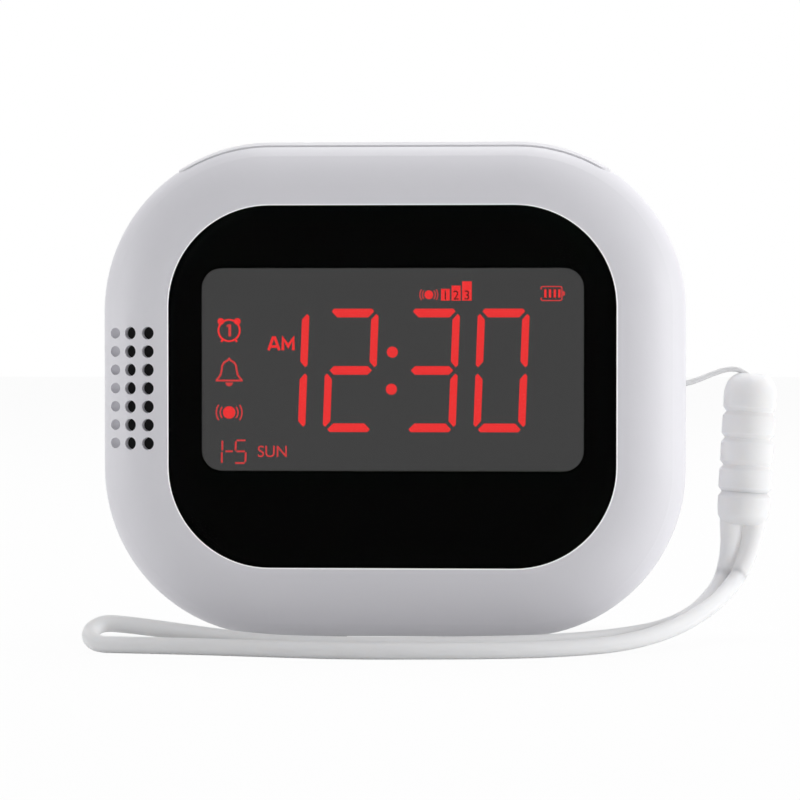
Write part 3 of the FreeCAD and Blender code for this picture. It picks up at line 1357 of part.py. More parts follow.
def lanyard_pin():
    low = s.anchor_z - s.anchor_slot_height / 2 - s.pin_seat + s.pin_gap
    return keep(rod("lanyard_pin", "Z", s.anchor_x, s.anchor_y, low, s.pin_radius,
                    s.anchor_slot_height + 2 * (s.pin_seat - s.pin_gap)))


GROOVE_SHARES = (0.193, 0.376, 0.562, 0.76)
CAP_LEAN = (0.06, 0.039, 0.9974)


def strap_cap():
    """The ribbed grip: a soft round plug with four grooves, a domed crown and a tapered foot."""
    body = new_body("strap_cap")
    r, length = s.cap_radius, s.cap_length
    outline = [(ZERO, ZERO), (ZERO, s.cap_neck), (s.cap_neck_length, r)]
    for share in GROOVE_SHARES:
        middle = length * share
        half = s.cap_groove_width / 2
        outline += [(middle - half, r), (middle, r - s.cap_groove), (middle + half, r)]
    across = r - s.cap_crown
    dome = (across * across + s.cap_crown_height * s.cap_crown_height) / (2 * across)
    outline += [(length - s.cap_crown_height, r, dome, -1), (length, s.cap_crown),
                (length, ZERO)]
    turned(body, "cap_profile", "Z", (ZERO, ZERO), FULL_TURN, outline)
    pocket(body, "cord_cup", "Z", length - s.cord_well_depth, length + s.overrun,
           ("circle", ZERO, ZERO, s.cord_well))
    pocket(body, "strand_sockets", "Z", -s.overrun, s.strand_depth,
           *[("circle", side * s.strand_spread, ZERO, s.strap_diameter / 2 + s.strand_gap)
             for side in (-1, 1)])
    rotation = FreeCAD.Rotation(V(0, 0, 1), V(*CAP_LEAN))
    body.Placement = FreeCAD.Placement(V(0, 0, 0), rotation)
    bind(body, Placement__Base__x=s.cap_foot_x, Placement__Base__y=s.cap_foot_y,
         Placement__Base__z=s.cap_foot_z)
    return keep(body)


LANYARD_ROUTE = [
    (55.20, 3.07, 39.75), (53.45, 3.00, 41.05), (52.20, 2.92, 41.40), (50.80, 2.76, 41.27),
    (49.20, 2.52, 40.75), (46.80, 2.12, 39.75), (44.90, 1.82, 39.12), (43.42, 1.75, 39.00),
    (42.39, 1.75, 39.00), (41.65, 2.48, 39.00), (41.65, 3.52, 39.00), (42.39, 4.25, 39.00),
    (43.42, 4.25, 39.00), (44.90, 4.18, 39.12), (46.80, 4.06, 39.75), (49.20, 3.98, 40.75),
    (50.80, 4.00, 41.27), (52.20, 4.02, 41.40), (53.45, 4.05, 41.05), (55.20, 4.07, 39.75),
]

STRAP_ROUTE = [
    (55.18, 2.70, 18.60), (55.01, 2.61, 15.70), (54.40, 1.95, 12.95), (53.45, 0.55, 10.60),
    (52.20, -1.50, 8.90), (50.50, -4.60, 7.35), (48.00, -10.30, 5.65), (42.38, -18.20, 3.09),
    (34.61, -25.53, 1.55), (25.52, -30.76, 1.28), (15.60, -34.21, 1.32), (5.21, -35.70, 1.39),
    (-5.29, -35.29, 1.28), (-15.62, -33.30, 1.28), (-25.85, -30.84, 1.30),
    (-34.20, -29.45, 1.30), (-39.60, -28.80, 1.32), (-42.40, -28.70, 1.35),
    (-43.99, -27.31, 2.12), (-43.99, -25.34, 3.21), (-42.40, -23.95, 3.98),
    (-39.60, -23.95, 3.55), (-34.60, -25.05, 2.75), (-27.40, -26.97, 1.91),
    (-17.29, -29.89, 1.56), (-7.01, -32.07, 1.81), (3.44, -32.90, 1.89), (13.86, -31.67, 1.88),
    (23.86, -28.45, 1.89), (32.88, -22.40, 2.07), (40.20, -16.20, 2.72), (45.13, -9.24, 4.19),
    (48.33, -2.33, 6.42), (49.74, -0.05, 8.20), (50.66, 1.56, 10.43), (51.44, 2.43, 13.05),
    (51.81, 2.60, 15.89), (51.99, 2.71, 18.79),
]


def cords():
    keep(tube("lanyard_cord", LANYARD_ROUTE, s.lanyard_diameter.value))
    keep(tube("wrist_strap", STRAP_ROUTE, s.strap_diameter.value))


front_housing()
rear_cover()
rubber_feet()
case_screws()
display_lens()
lens_mask()
lcd_glass()
lcd_frame()
backlight_diffuser()
backlight_leds()
main_board()
board_chips()
chassis()
chassis_screws()
battery_pack()
motor_can()
motor_end_cap()
motor_sleeve()
motor_clamp()
clamp_screws()
motor_shaft()
left_span, right_span = weight_spans()
eccentric_weight("left_weight", left_span)
eccentric_weight("right_weight", right_span)
speaker()
snooze_button()
snooze_switch()
key_board()
key_board_screws()
rear_keys()
slide_switches()
charging_socket()
battery_leads()
motor_leads()
speaker_leads()
board_ribbon()
lanyard_pin()
strap_cap()
cords()
doc.recompute()

faults = [item.Label for item in doc.Objects if "Invalid" in item.State or "Error" in item.State]
faults += [item.Label for item in nodes if item.Shape.isNull() or not item.Shape.isValid()]
if faults:
    raise RuntimeError("These pieces did not build: " + ", ".join(faults))

os.makedirs("parts", exist_ok=True)
for item in nodes:
    item.Shape.exportStep(os.path.join("parts", item.Label + ".step"))
    box = item.Shape.optimalBoundingBox(False)
    print(f"{item.Label}: {len(item.Shape.Solids)} solid, volume {item.Shape.Volume:.1f}, "
          f"X {box.XMin:.2f} to {box.XMax:.2f}, Y {box.YMin:.2f} to {box.YMax:.2f}, "
          f"Z {box.ZMin:.2f} to {box.ZMax:.2f}")
print(len(nodes), "pieces")
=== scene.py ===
# Bed shaker alarm clock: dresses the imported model. Lengths are in metres, except in the
# dictionaries marked as millimetres, whose shapes are multiplied by mm when they are made.
import math
import bmesh
import bpy
import numpy as np
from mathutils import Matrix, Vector


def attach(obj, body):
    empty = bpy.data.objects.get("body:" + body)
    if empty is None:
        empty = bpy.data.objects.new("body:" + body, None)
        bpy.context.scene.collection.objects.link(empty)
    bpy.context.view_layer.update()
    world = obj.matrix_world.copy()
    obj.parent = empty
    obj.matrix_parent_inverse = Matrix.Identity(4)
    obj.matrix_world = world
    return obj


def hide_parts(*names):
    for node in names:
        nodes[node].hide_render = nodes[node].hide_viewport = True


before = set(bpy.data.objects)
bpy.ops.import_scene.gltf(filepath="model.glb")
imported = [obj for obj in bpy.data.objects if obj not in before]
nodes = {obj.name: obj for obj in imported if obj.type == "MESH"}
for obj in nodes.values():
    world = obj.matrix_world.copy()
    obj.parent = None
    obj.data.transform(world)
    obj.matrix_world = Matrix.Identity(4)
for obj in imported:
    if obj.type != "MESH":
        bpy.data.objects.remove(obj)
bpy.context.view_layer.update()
case = "clock_case"
mm = 0.001
print("frame loaded:", len(nodes), "nodes")

# Camera
cameraView = {
    "distance": 0.450,
    "turn": 2.85,               # degrees to the right of straight ahead
    "lift": 1.0,                # degrees above level
    "middle": (0.0, 0.0, 0.0383),
    "aimX": 0.00033,
    "aimZ": -0.00175,
    "lens": 130.455,
    "sensor": 36.0,
    "clip": (0.01, 20.0),
}


def addCamera(v):
    turn, lift = math.radians(v["turn"]), math.radians(v["lift"])
    middle = Vector(v["middle"])
    level = math.cos(lift)
    back = Vector((math.sin(turn) * level, -math.cos(turn) * level, math.sin(lift)))
    data = bpy.data.cameras.new("camera")
    data.lens, data.sensor_width = v["lens"], v["sensor"]
    data.clip_start, data.clip_end = v["clip"]
    camera = bpy.data.objects.new("camera", data)
    camera.location = middle + back * v["distance"]
    target = middle + Vector((v["aimX"], 0, v["aimZ"]))
    camera.rotation_euler = (target - camera.location).to_track_quat("-Z", "Y").to_euler()
    bpy.context.scene.collection.objects.link(camera)
    bpy.context.scene.camera = camera


addCamera(cameraView)
print("camera placed")


# Helpers
def linkObject(name, data):
    item = bpy.data.objects.new(name, data)
    bpy.context.scene.collection.objects.link(item)
    return item


def gridMesh(name, points, closeU=False, closeV=False, smooth=True, flip=False):
    # points is a (rows, columns, 3) array; neighbouring samples are joined by quads
    rows, cols = points.shape[:2]
    index = np.arange(rows * cols).reshape(rows, cols)
    a = np.vstack([index, index[:1]]) if closeU else index
    a = np.hstack([a, a[:, :1]]) if closeV else a
    quads = np.stack([a[:-1, :-1], a[:-1, 1:], a[1:, 1:], a[1:, :-1]], -1).reshape(-1, 4)
    if flip:
        quads = quads[:, ::-1]
    mesh = bpy.data.meshes.new(name)
    mesh.from_pydata(points.reshape(-1, 3).tolist(), [], quads.tolist())
    mesh.validate()
    mesh.polygons.foreach_set("use_smooth", np.full(len(mesh.polygons), smooth))
    return linkObject(name, mesh)


def plateMesh(name, outlines, front, back):
    # outlines are lists of (x, z) in metres; each becomes a thin prism between two depths
    verts, faces = [], []
    for outline in outlines:
        flat = np.asarray(outline, float)
        twist = np.roll(flat, -1, axis=0)
        if (flat[:, 0] * twist[:, 1] - twist[:, 0] * flat[:, 1]).sum() < 0:
            flat = flat[::-1]
        count, base = len(flat), sum(len(v) for v in verts)
        verts.append(np.column_stack([flat[:, 0], np.full(count, front), flat[:, 1]]))
        verts.append(np.column_stack([flat[:, 0], np.full(count, back), flat[:, 1]]))
        ring = np.arange(count)
        faces.append((base + ring).tolist())
        faces.append((base + count + ring[::-1]).tolist())
        after = (ring + 1) % count
        sides = np.stack([ring, ring + count, after + count, after], -1) + base
        faces += sides.tolist()
    mesh = bpy.data.meshes.new(name)
    mesh.from_pydata(np.vstack(verts).tolist(), [], faces)
    return linkObject(name, mesh)


def finish(item, material, body=case):
    item.data.materials.clear()
    item.data.materials.append(material)
    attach(item, body)
    return item


# Shared shader effects
def feed(tree, socket, value):
    # an input takes a link from another node's output, or else a plain value
    if isinstance(value, bpy.types.NodeSocket):
        tree.links.new(value, socket)
    else:
        socket.default_value = value


def setInputs(tree, node, **values):
    # To_Min=0.0 feeds the input called To Min
    for label, value in values.items():
        feed(tree, node.inputs[label.replace("_", " ")], value)


def newGroup(name, inputs, outputs):
    # inputs give each label its usual value, a number or a vector; all outputs are numbers
    group = bpy.data.node_groups.new(name, "ShaderNodeTree")
    for label, value in inputs.items():
        kind = "NodeSocketVector" if isinstance(value, tuple) else "NodeSocketFloat"
        socket = group.interface.new_socket(label, in_out="INPUT", socket_type=kind)
        socket.default_value = value
    for label in outputs:
        group.interface.new_socket(label, in_out="OUTPUT", socket_type="NodeSocketFloat")
    return group, group.nodes.new("NodeGroupInput"), group.nodes.new("NodeGroupOutput")


def addMath(tree, kind, first, second):
    node = tree.nodes.new("ShaderNodeMath")
    node.operation = kind
    feed(tree, node.inputs[0], first)
    feed(tree, node.inputs[1], second)
    return node.outputs[0]


def addNoise(tree, place, scale, detail, rough):
    node = tree.nodes.new("ShaderNodeTexNoise")
    setInputs(tree, node, Vector=place, Scale=scale, Detail=detail, Roughness=rough)
    return node.outputs["Fac"]


def mapRange(tree, value, low, high, fromLow=0.0, fromHigh=1.0):
    node = tree.nodes.new("ShaderNodeMapRange")
    setInputs(tree, node, Value=value, From_Min=fromLow, From_Max=fromHigh, To_Min=low, To_Max=high)
    return node.outputs["Result"]


grainMake = {"scale": 2600.0, "drift": 22.0, "speck": 900.0, "fineShare": 0.6, "cellShare": 0.4}


def makeGrainGroup(v):
    # spark-eroded grain of a moulding: height = fine noise and cells added by their shares,
    # a slow noise for the drift of colour and a quick one for specks of roughness
    group, enter, leave = newGroup("mouldedGrain", {"Grain Scale": v["scale"],
                                   "Drift Scale": v["drift"]}, ("Height", "Drift", "Speck"))
    place = group.nodes.new("ShaderNodeTexCoord").outputs["Object"]
    scale = enter.outputs["Grain Scale"]
    fine = addNoise(group, place, scale, 2.0, 0.5)
    cell = group.nodes.new("ShaderNodeTexVoronoi")
    cell.feature = "SMOOTH_F1"
    setInputs(group, cell, Vector=place, Scale=scale)
    height = addMath(group, "ADD", addMath(group, "MULTIPLY", fine, v["fineShare"]),
                     addMath(group, "MULTIPLY", cell.outputs["Distance"], v["cellShare"]))
    drift = addNoise(group, place, enter.outputs["Drift Scale"], 2.0, 0.5)
    speck = addNoise(group, place, v["speck"], 1.0, 0.5)
    setInputs(group, leave, Height=height, Drift=drift, Speck=speck)
    return group


wearMake = {"radius": 0.0003, "samples": 4, "flat": 0.995, "rubbed": 0.90}


def makeWearGroup(v):
    # rubbed edges: the mask grows as the bevelled normal leans from the true one
    group, enter, leave = newGroup("edgeWear", {"Radius": v["radius"]}, ("Mask",))
    bevel = group.nodes.new("ShaderNodeBevel")
    bevel.samples = v["samples"]
    setInputs(group, bevel, Radius=enter.outputs["Radius"])
    geometry = group.nodes.new("ShaderNodeNewGeometry")
    dot = group.nodes.new("ShaderNodeVectorMath")
    dot.operation = "DOT_PRODUCT"
    feed(group, dot.inputs[0], bevel.outputs["Normal"])
    feed(group, dot.inputs[1], geometry.outputs["Normal"])
    mask = mapRange(group, dot.outputs["Value"], 0.0, 1.0, v["flat"], v["rubbed"])
    setInputs(group, leave, Mask=mask)
    return group


brushMake = {"along": (300.0, 6000.0, 6000.0), "detail": 2.0, "rough": 0.6}


def makeBrushGroup(v):
    # long fine strokes of drawn or turned metal
    group, enter, leave = newGroup("brushStrokes", {"Along": v["along"]}, ("Stroke",))
    coord = group.nodes.new("ShaderNodeTexCoord")
    stretch = group.nodes.new("ShaderNodeVectorMath")
    stretch.operation = "MULTIPLY"
    feed(group, stretch.inputs[0], coord.outputs["Object"])
    feed(group, stretch.inputs[1], enter.outputs["Along"])
    stroke = addNoise(group, stretch.outputs["Vector"], 1.0, v["detail"], v["rough"])
    setInputs(group, leave, Stroke=stroke)
    return group


weaveMake = {"threads": 9000.0}


def makeWeaveGroup(v):
    # crossed threads of a thin cloth or braid: height = one wave times the other
    group, enter, leave = newGroup("weave", {"Thread Scale": v["threads"]}, ("Height",))
    place = group.nodes.new("ShaderNodeTexCoord").outputs["Object"]
    waves = []
    for direction in ("X", "Z"):
        wave = group.nodes.new("ShaderNodeTexWave")
        wave.bands_direction = direction
        setInputs(group, wave, Vector=place, Scale=enter.outputs["Thread Scale"])
        waves.append(wave.outputs["Fac"])
    setInputs(group, leave, Height=addMath(group, "MULTIPLY", *waves))
    return group


grainGroup = makeGrainGroup(grainMake)
wearGroup = makeWearGroup(wearMake)
brushGroup = makeBrushGroup(brushMake)
weaveGroup = makeWeaveGroup(weaveMake)
print("shader groups built")


# Materials
def newMaterial(name):
    material = bpy.data.materials.new(name)
    material.use_nodes = True
    tree = material.node_tree
    return material, tree, tree.nodes["Principled BSDF"]


def placeGroup(tree, group, **values):
    node = tree.nodes.new("ShaderNodeGroup")
    node.node_tree = group
    setInputs(tree, node, **values)
    return node


def blendColour(tree, factor, first, second):
    # from the first colour, plain or linked, to the second
    mix = tree.nodes.new("ShaderNodeMix")
    mix.data_type = "RGBA"
    start = (*first, 1) if isinstance(first, tuple) else first
    setInputs(tree, mix, Factor=factor, A=start, B=(*second, 1))
    return mix.outputs["Result"]


def addBump(tree, shader, height, strength, distance):
    bump = tree.nodes.new("ShaderNodeBump")
    setInputs(tree, bump, Height=height, Strength=strength, Distance=distance)
    setInputs(tree, shader, Normal=bump.outputs["Normal"])


plasticMake = {
    "roughBelow": 0.05, "roughAbove": 0.06, "bumpDepth": 0.00004, "wearLift": 0.3,
    "sheenRough": 0.4, "underskin": (0.0030, 0.0028, 0.0026), "coatRough": 0.1,
}


def plastic(name, colour, rough=0.45, grain=grainMake["scale"], bump=0.12, drift=0.03, wear=0.04,
            spec=0.5, sheen=0.0, subsurface=0.0, coat=0.0, lift=0.0):
    # moulded plastic: slow colour drift, lighter rubbed edges, spark-eroded grain
    v = plasticMake
    material, tree, shader = newMaterial(name)
    effect = placeGroup(tree, grainGroup, Grain_Scale=grain)
    darker = tuple(c * (1 - drift) for c in colour)
    base = blendColour(tree, effect.outputs["Drift"], darker, colour)
    if wear:
        edge = placeGroup(tree, wearGroup)
        lighter = tuple(min(1.0, c * (1 + wear) + wear * v["wearLift"]) for c in colour)
        base = blendColour(tree, edge.outputs["Mask"], base, lighter)
    speck = effect.outputs["Speck"]
    speckle = mapRange(tree, speck, rough - v["roughBelow"], rough + v["roughAbove"])
    setInputs(tree, shader, Base_Color=base, Roughness=speckle, Specular_IOR_Level=spec)
    addBump(tree, shader, effect.outputs["Height"], bump, v["bumpDepth"])
    if sheen:
        setInputs(tree, shader, Sheen_Weight=sheen, Sheen_Roughness=v["sheenRough"])
    if subsurface:
        setInputs(tree, shader, Subsurface_Weight=subsurface, Subsurface_Radius=v["underskin"],
                  Subsurface_Scale=1.0)
    # painted light: the surface glows in its own colour at the lift's strength, used for the
    # highlight round the window
    if lift:
        setInputs(tree, shader, Emission_Color=base, Emission_Strength=lift)
    if coat:
        setInputs(tree, shader, Coat_Weight=coat, Coat_Roughness=v["coatRough"])
    return material


metalMake = {"shade": 0.86, "roughBelow": 0.08, "roughAbove": 0.1, "bump": 0.08,
             "bumpDepth": 0.00002}


def metal(name, colour, rough=0.28, along=brushMake["along"]):
    # drawn or turned metal: brushed roughness and a faint stroke bump
    v = metalMake
    material, tree, shader = newMaterial(name)
    stroke = placeGroup(tree, brushGroup, Along=along).outputs["Stroke"]
    base = blendColour(tree, stroke, tuple(c * v["shade"] for c in colour), colour)
    brushed = mapRange(tree, stroke, rough - v["roughBelow"], rough + v["roughAbove"])
    setInputs(tree, shader, Base_Color=base, Roughness=brushed, Metallic=1.0)
    addBump(tree, shader, stroke, v["bump"], v["bumpDepth"])
    return material


glowMake = {"unlit": (0.004, 0.004, 0.004, 1), "rough": 0.6, "patches": 180.0}


def glowing(name, colour, dim=0.97):
    # lit figure: emission with a faint unevenness of the lamp behind it
    v = glowMake
    material, tree, shader = newMaterial(name)
    coord = tree.nodes.new("ShaderNodeTexCoord")
    uneven = addNoise(tree, coord.outputs["Object"], v["patches"], 1.0, 0.4)
    light = blendColour(tree, uneven, tuple(c * dim for c in colour), colour)
    setInputs(tree, shader, Emission_Color=light, Emission_Strength=1.0, Base_Color=v["unlit"],
              Roughness=v["rough"], Specular_IOR_Level=0.0)
    return material


wovenMake = {"shade": 0.8, "roughAbove": 0.1, "roughBelow": 0.05, "bump": 0.5,
             "bumpDepth": 0.00003}


def woven(name, colour, threads=weaveMake["threads"], rough=0.8):
    # thin cloth or braid: darker and rougher between its threads, the darker colour a painted shade
    # in the weave's hollows
    v = wovenMake
    material, tree, shader = newMaterial(name)
    height = placeGroup(tree, weaveGroup, Thread_Scale=threads).outputs["Height"]
    # painted shade: the colour darkens where the weave lies low
    base = blendColour(tree, height, tuple(c * v["shade"] for c in colour), colour)
    dull = mapRange(tree, height, rough + v["roughAbove"], rough - v["roughBelow"])
    setInputs(tree, shader, Base_Color=base, Roughness=dull)
    addBump(tree, shader, height, v["bump"], v["bumpDepth"])
    return material


windowMake = {"patches": 60.0, "rough": 0.02, "haze": 0.02, "cloudy": 0.97}


def clearWindow(name, ior):
    # polished clear plate: transmission with a hair of haze
    v = windowMake
    material, tree, shader = newMaterial(name)
    coord = tree.nodes.new("ShaderNodeTexCoord")
    cloud = addNoise(tree, coord.outputs["Object"], v["patches"], 2.0, 0.5)
    hazy = mapRange(tree, cloud, v["rough"], v["rough"] + v["haze"])
    tint = blendColour(tree, cloud, (v["cloudy"],) * 3, (1.0, 1.0, 1.0))
    setInputs(tree, shader, Base_Color=tint, Roughness=hazy, Transmission_Weight=1.0, IOR=ior)
    return material


look = {
    "case": plastic("caseSatin", (0.80, 0.793, 0.828), rough=0.46, spec=0.4),
    "pad": plastic("padSatin", (0.82, 0.814, 0.842), rough=0.42, spec=0.4),
    "key": plastic("keySatin", (0.70, 0.70, 0.715), rough=0.42),
    "inner": plastic("innerWhite", (0.74, 0.74, 0.73), rough=0.5, wear=0),
    "plunger": plastic("plungerGrey", (0.45, 0.45, 0.46), rough=0.45, wear=0),
    "black": plastic("blackMoulding", (0.018, 0.018, 0.019), rough=0.45, wear=0.02),
    "gloss": plastic("boardLacquer", (0.02, 0.16, 0.06), rough=0.2, grain=1200.0, coat=0.5, wear=0),
    "chip": plastic("chipResin", (0.02, 0.02, 0.021), rough=0.55, wear=0),
    "rubber": plastic("darkRubber", (0.03, 0.03, 0.03), rough=0.8, bump=0.3, spec=0.2, wear=0),
    "foam": plastic("gasketFoam", (0.012, 0.012, 0.012), rough=0.9, grain=5000.0, bump=0.8,
                    wear=0, spec=0.1),
    "silicone": plastic("silicone", (0.885, 0.885, 0.885), rough=0.62, grain=1500.0, bump=0.05,
                        drift=0.02, wear=0, spec=0.25, sheen=0.1, subsurface=0.6),
    "foil": metal("cellFoil", (0.72, 0.73, 0.75), rough=0.35, along=(900.0, 900.0, 900.0)),
    "steel": metal("steel", (0.60, 0.60, 0.62)),
    "turned": metal("turnedSteel", (0.62, 0.62, 0.64), along=(6000.0, 300.0, 300.0)),
    "brass": metal("brassWeight", (0.72, 0.52, 0.22), rough=0.3, along=(6000.0, 400.0, 400.0)),
    "magnet": metal("platedMagnet", (0.7, 0.7, 0.72), rough=0.15),
    "film": plastic("speakerFilm", (0.05, 0.05, 0.055), rough=0.35, wear=0),
    "mask": plastic("maskFilm", (0.0006, 0.0006, 0.0006), rough=0.7, spec=0.0, wear=0, bump=0.0),
    "diffuser": plastic("milkyDiffuser", (0.85, 0.85, 0.84), rough=0.6, wear=0),
    "lamp": plastic("lampResin", (0.9, 0.86, 0.62), rough=0.3, wear=0),
    "ribbon": plastic("ribbonFilm", (0.8, 0.8, 0.8), rough=0.4, wear=0),
    "leadRed": plastic("leadRed", (0.55, 0.02, 0.015), rough=0.5, wear=0),
    "leadBlue": plastic("leadBlue", (0.03, 0.08, 0.45), rough=0.5, wear=0),
    "leadGrey": plastic("leadGrey", (0.2, 0.2, 0.2), rough=0.5, wear=0),
    "cord": woven("braidedCord", (0.95, 0.95, 0.95)),
    "grille": woven("grilleCloth", (0.006, 0.006, 0.006), threads=5000.0, rough=0.9),
    "lens": clearWindow("clearLens", 1.09),
    "ground": glowing("displayGround", (0.0482, 0.0482, 0.0482), dim=0.985),
    "lit": glowing("litFigures", (0.823, 0.0331, 0.0331), dim=0.985),
    "litThin": glowing("litFineFigures", (0.60, 0.046, 0.046), dim=0.985),
    "litDark": glowing("darkFigures", (0.055, 0.012, 0.012)),
    "litShade": glowing("shadedFigures", (0.062, 0.036, 0.036)),
    # painted highlight: near-white plastic that glows, for the bright line round the window
    "edge": plastic("paintedHighlightWhite", (0.96, 0.96, 0.96), rough=0.2, wear=0, bump=0.0, lift=0.3),
    "print": plastic("greyPrint", (0.22, 0.22, 0.23), rough=0.6, wear=0, bump=0.02),
}
print("materials made:", len(look))

# CAD nodes that stay, by the look they get
dressed = {
    "case": "front_housing rear_cover", "pad": "snooze_button",
    "key": "set_key mode_key down_key up_key sound_slide_knob alarm_slide_knob",
    "rubber": "rubber_feet motor_sleeve speaker_surround", "lens": "display_lens",
    "mask": "lens_mask", "ground": "lcd_glass", "diffuser": "backlight_diffuser",
    "inner": "lcd_frame chassis sound_slide_lever alarm_slide_lever ribbon_sockets",
    "steel": "case_screws chassis_screws clamp_screws key_board_screws speaker_yoke "
             "slide_switches charging_socket lanyard_pin",
    "lamp": "backlight_leds", "gloss": "main_board key_board", "chip": "board_chips",
    "black": "motor_end_cap motor_clamp speaker_basket snooze_switch key_switches socket_tongue",
    "plunger": "snooze_plunger set_key_plunger mode_key_plunger down_key_plunger up_key_plunger",
    "foil": "battery_pack", "turned": "motor_can motor_shaft", "brass": "left_weight right_weight",
    "foam": "speaker_gasket", "film": "speaker_dome", "magnet": "speaker_magnet",
    "leadRed": "battery_leads", "leadBlue": "motor_leads", "leadGrey": "speaker_leads",
    "ribbon": "board_ribbon",
}
for key, names in dressed.items():
    for node in names.split():
        nodes[node].data.materials.clear()
        nodes[node].data.materials.append(look[key])
print("carried-over nodes finished")

# Cords
strap = {
    "diameter": 0.0025,
    "length": 0.244,
    "segments": 12,
    "routeMm": [
        (55.34, 2.70, 18.60), (55.08, 2.61, 15.70), (54.38, 1.95, 12.95), (53.38, 0.55, 10.60),
        (52.12, -1.50, 8.90), (50.50, -4.60, 7.35), (48.00, -10.30, 5.65), (42.38, -18.20, 3.09),
        (34.61, -25.53, 1.55), (25.52, -30.76, 1.28), (15.60, -34.21, 1.32), (5.21, -35.70, 1.39),
        (-5.29, -35.29, 1.28), (-15.62, -33.30, 1.28), (-25.85, -30.84, 1.30),
        (-34.20, -29.45, 1.30), (-39.60, -28.80, 1.32), (-42.40, -28.70, 1.35),
        (-43.99, -27.31, 2.12), (-43.99, -25.34, 3.21), (-42.40, -23.95, 4.02),
        (-39.60, -23.95, 3.86), (-34.60, -25.05, 3.40), (-27.40, -26.97, 2.62),
        (-17.29, -29.89, 1.74), (-7.01, -32.07, 1.81), (3.44, -32.90, 1.89), (13.86, -31.67, 1.88),
        (23.86, -28.45, 1.89), (32.88, -22.40, 2.07), (40.20, -16.20, 2.72), (45.13, -9.24, 4.19),
        (48.33, -2.33, 6.42), (49.84, -0.05, 8.20), (50.76, 1.56, 10.43), (51.48, 2.43, 13.05),
        (51.75, 2.60, 15.89), (51.83, 2.71, 18.79),
    ],
}
lanyard = {
    "diameter": 0.0008,
    "length": 0.0300,
    "segments": 8,
    "routeMm": [
        (55.20, 3.07, 39.75), (53.45, 3.00, 41.05), (52.20, 2.92, 41.40), (50.80, 2.76, 41.27),
        (49.20, 2.52, 40.75), (46.80, 2.12, 39.75), (44.90, 1.82, 39.12), (43.42, 1.75, 39.00),
        (42.39, 1.75, 39.00), (41.65, 2.48, 39.00), (41.65, 3.52, 39.00), (42.39, 4.25, 39.00),
        (43.42, 4.25, 39.00), (44.90, 4.18, 39.12), (46.80, 4.06, 39.75), (49.20, 3.98, 40.75),
        (50.80, 4.00, 41.27), (52.20, 4.02, 41.40), (53.45, 4.05, 41.05), (55.20, 4.07, 39.75),
    ],
}


def addCord(name, v, material):
    # one smooth spline with the route's points as its control points, and a round section
    route = np.asarray(v["routeMm"])
    curve = bpy.data.curves.new(name, "CURVE")
    curve.dimensions = "3D"
    spline = curve.splines.new("NURBS")
    spline.points.add(len(route) - 1)
    spline.points.foreach_set("co", np.column_stack([route * mm, np.ones(len(route))]).ravel())
    spline.order_u = 3
    spline.use_endpoint_u = True
    curve.bevel_depth = v["diameter"] / 2
    curve.bevel_resolution = 5
    curve.resolution_u = v["segments"]
    curve.use_fill_caps = True
    item = linkObject(name, curve)
    item.data.materials.append(material)
    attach(item, case)
    return item


wristStrap = addCord("wristStrap", strap, look["silicone"])
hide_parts("wrist_strap")
lanyardCord = addCord("lanyardCord", lanyard, look["cord"])
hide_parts("lanyard_cord")
print("cords laid")

# Grip of the strap, in millimetres
grip = {
    "foot": (53.5, 2.65, 17.3), "lean": (0.06, 0.039, 0.9974), "length": 23.36,
    "radius": 4.05, "footRadius": 3.72, "footRound": 1.5, "footFlat": (0.0, 1.0, 2.0),
    "grooves": (4.9, 9.05, 13.28, 17.4), "grooveDepth": 0.52, "grooveHalf": 0.72,
    "groovePoint": 1.3, "grooveLip": 0.3, "swell": 0.05,
    "domeHeight": 3.6, "domePower": 2.2, "crown": 1.62, "crownRound": 0.4,
    # radius and distance below the lowest groove of the closed underside, and its lip's inset
    "under": ((0.0, 0.4), (2.6, 0.4)), "underLip": (0.1, 0.3),
    # radius and distance below the top, from the crown's lip down into its cup
    "cup": ((1.50, 0.03), (1.42, 0.12), (1.37, 1.2), (0.0, 1.2)),
    "around": 96, "rows": 460, "roundRows": 16,
}
# Fork under the grip: height and radius of the moulding where it runs out into each strand
fork = {
    "levels": (8.0, 9.0, 10.3, 11.6, 13.2, 14.75, 16.0, 17.5, 19.6),
    "radii": (1.12, 1.20, 1.29, 1.38, 1.49, 1.59, 1.72, 1.84, 1.80),
    "neckGap": 0.02, "neckRise": (0.1, 0.35), "ribRows": 60, "around": 48, "rows": 90,
    "voxelM": 0.00012, "passes": 9,
}


def gripRadius(v, t):
    # r(t): a slightly swollen cylinder, less pointed grooves, with a round foot and a dome
    ends = (0.0,) + v["grooves"] + (v["length"],)
    r = np.full_like(t, v["radius"])
    for low, high in zip(ends[:-1], ends[1:]):
        r += v["swell"] * np.sin(np.pi * np.clip((t - low) / (high - low), 0, 1))
    for middle in v["grooves"]:
        u = np.clip(np.abs(t - middle) / v["grooveHalf"], 0, 1)
        r -= v["grooveDepth"] * (1 - u) ** v["groovePoint"] * (1 + v["grooveLip"] * u)
    taper = np.clip(t / v["grooves"][0], 0, 1)
    r -= (v["radius"] - v["footRadius"]) * (1 - taper) ** 2
    low = np.clip(1 - t / v["footRound"], 0, 1)
    r -= v["footRound"] * (1 - np.sqrt(1 - low ** 2))
    high = np.clip((t - v["length"] + v["domeHeight"]) / v["domeHeight"], 0, 1)
    widest = v["radius"] + v["swell"]
    dome = v["crown"] + (widest - v["crown"]) * np.sqrt(1 - high ** v["domePower"])
    return np.where(high > 0, np.minimum(r, dome), r)


def weldDoubles(item):
    weld = item.modifiers.new("weld", "WELD")
    weld.merge_threshold = 1e-6


def bakedMesh(item):
    # the item becomes a plain mesh with its modifiers applied, and goes itself
    bpy.context.view_layer.update()
    depsgraph = bpy.context.evaluated_depsgraph_get()
    mesh = bpy.data.meshes.new_from_object(item.evaluated_get(depsgraph))
    bpy.data.objects.remove(item)
    return mesh


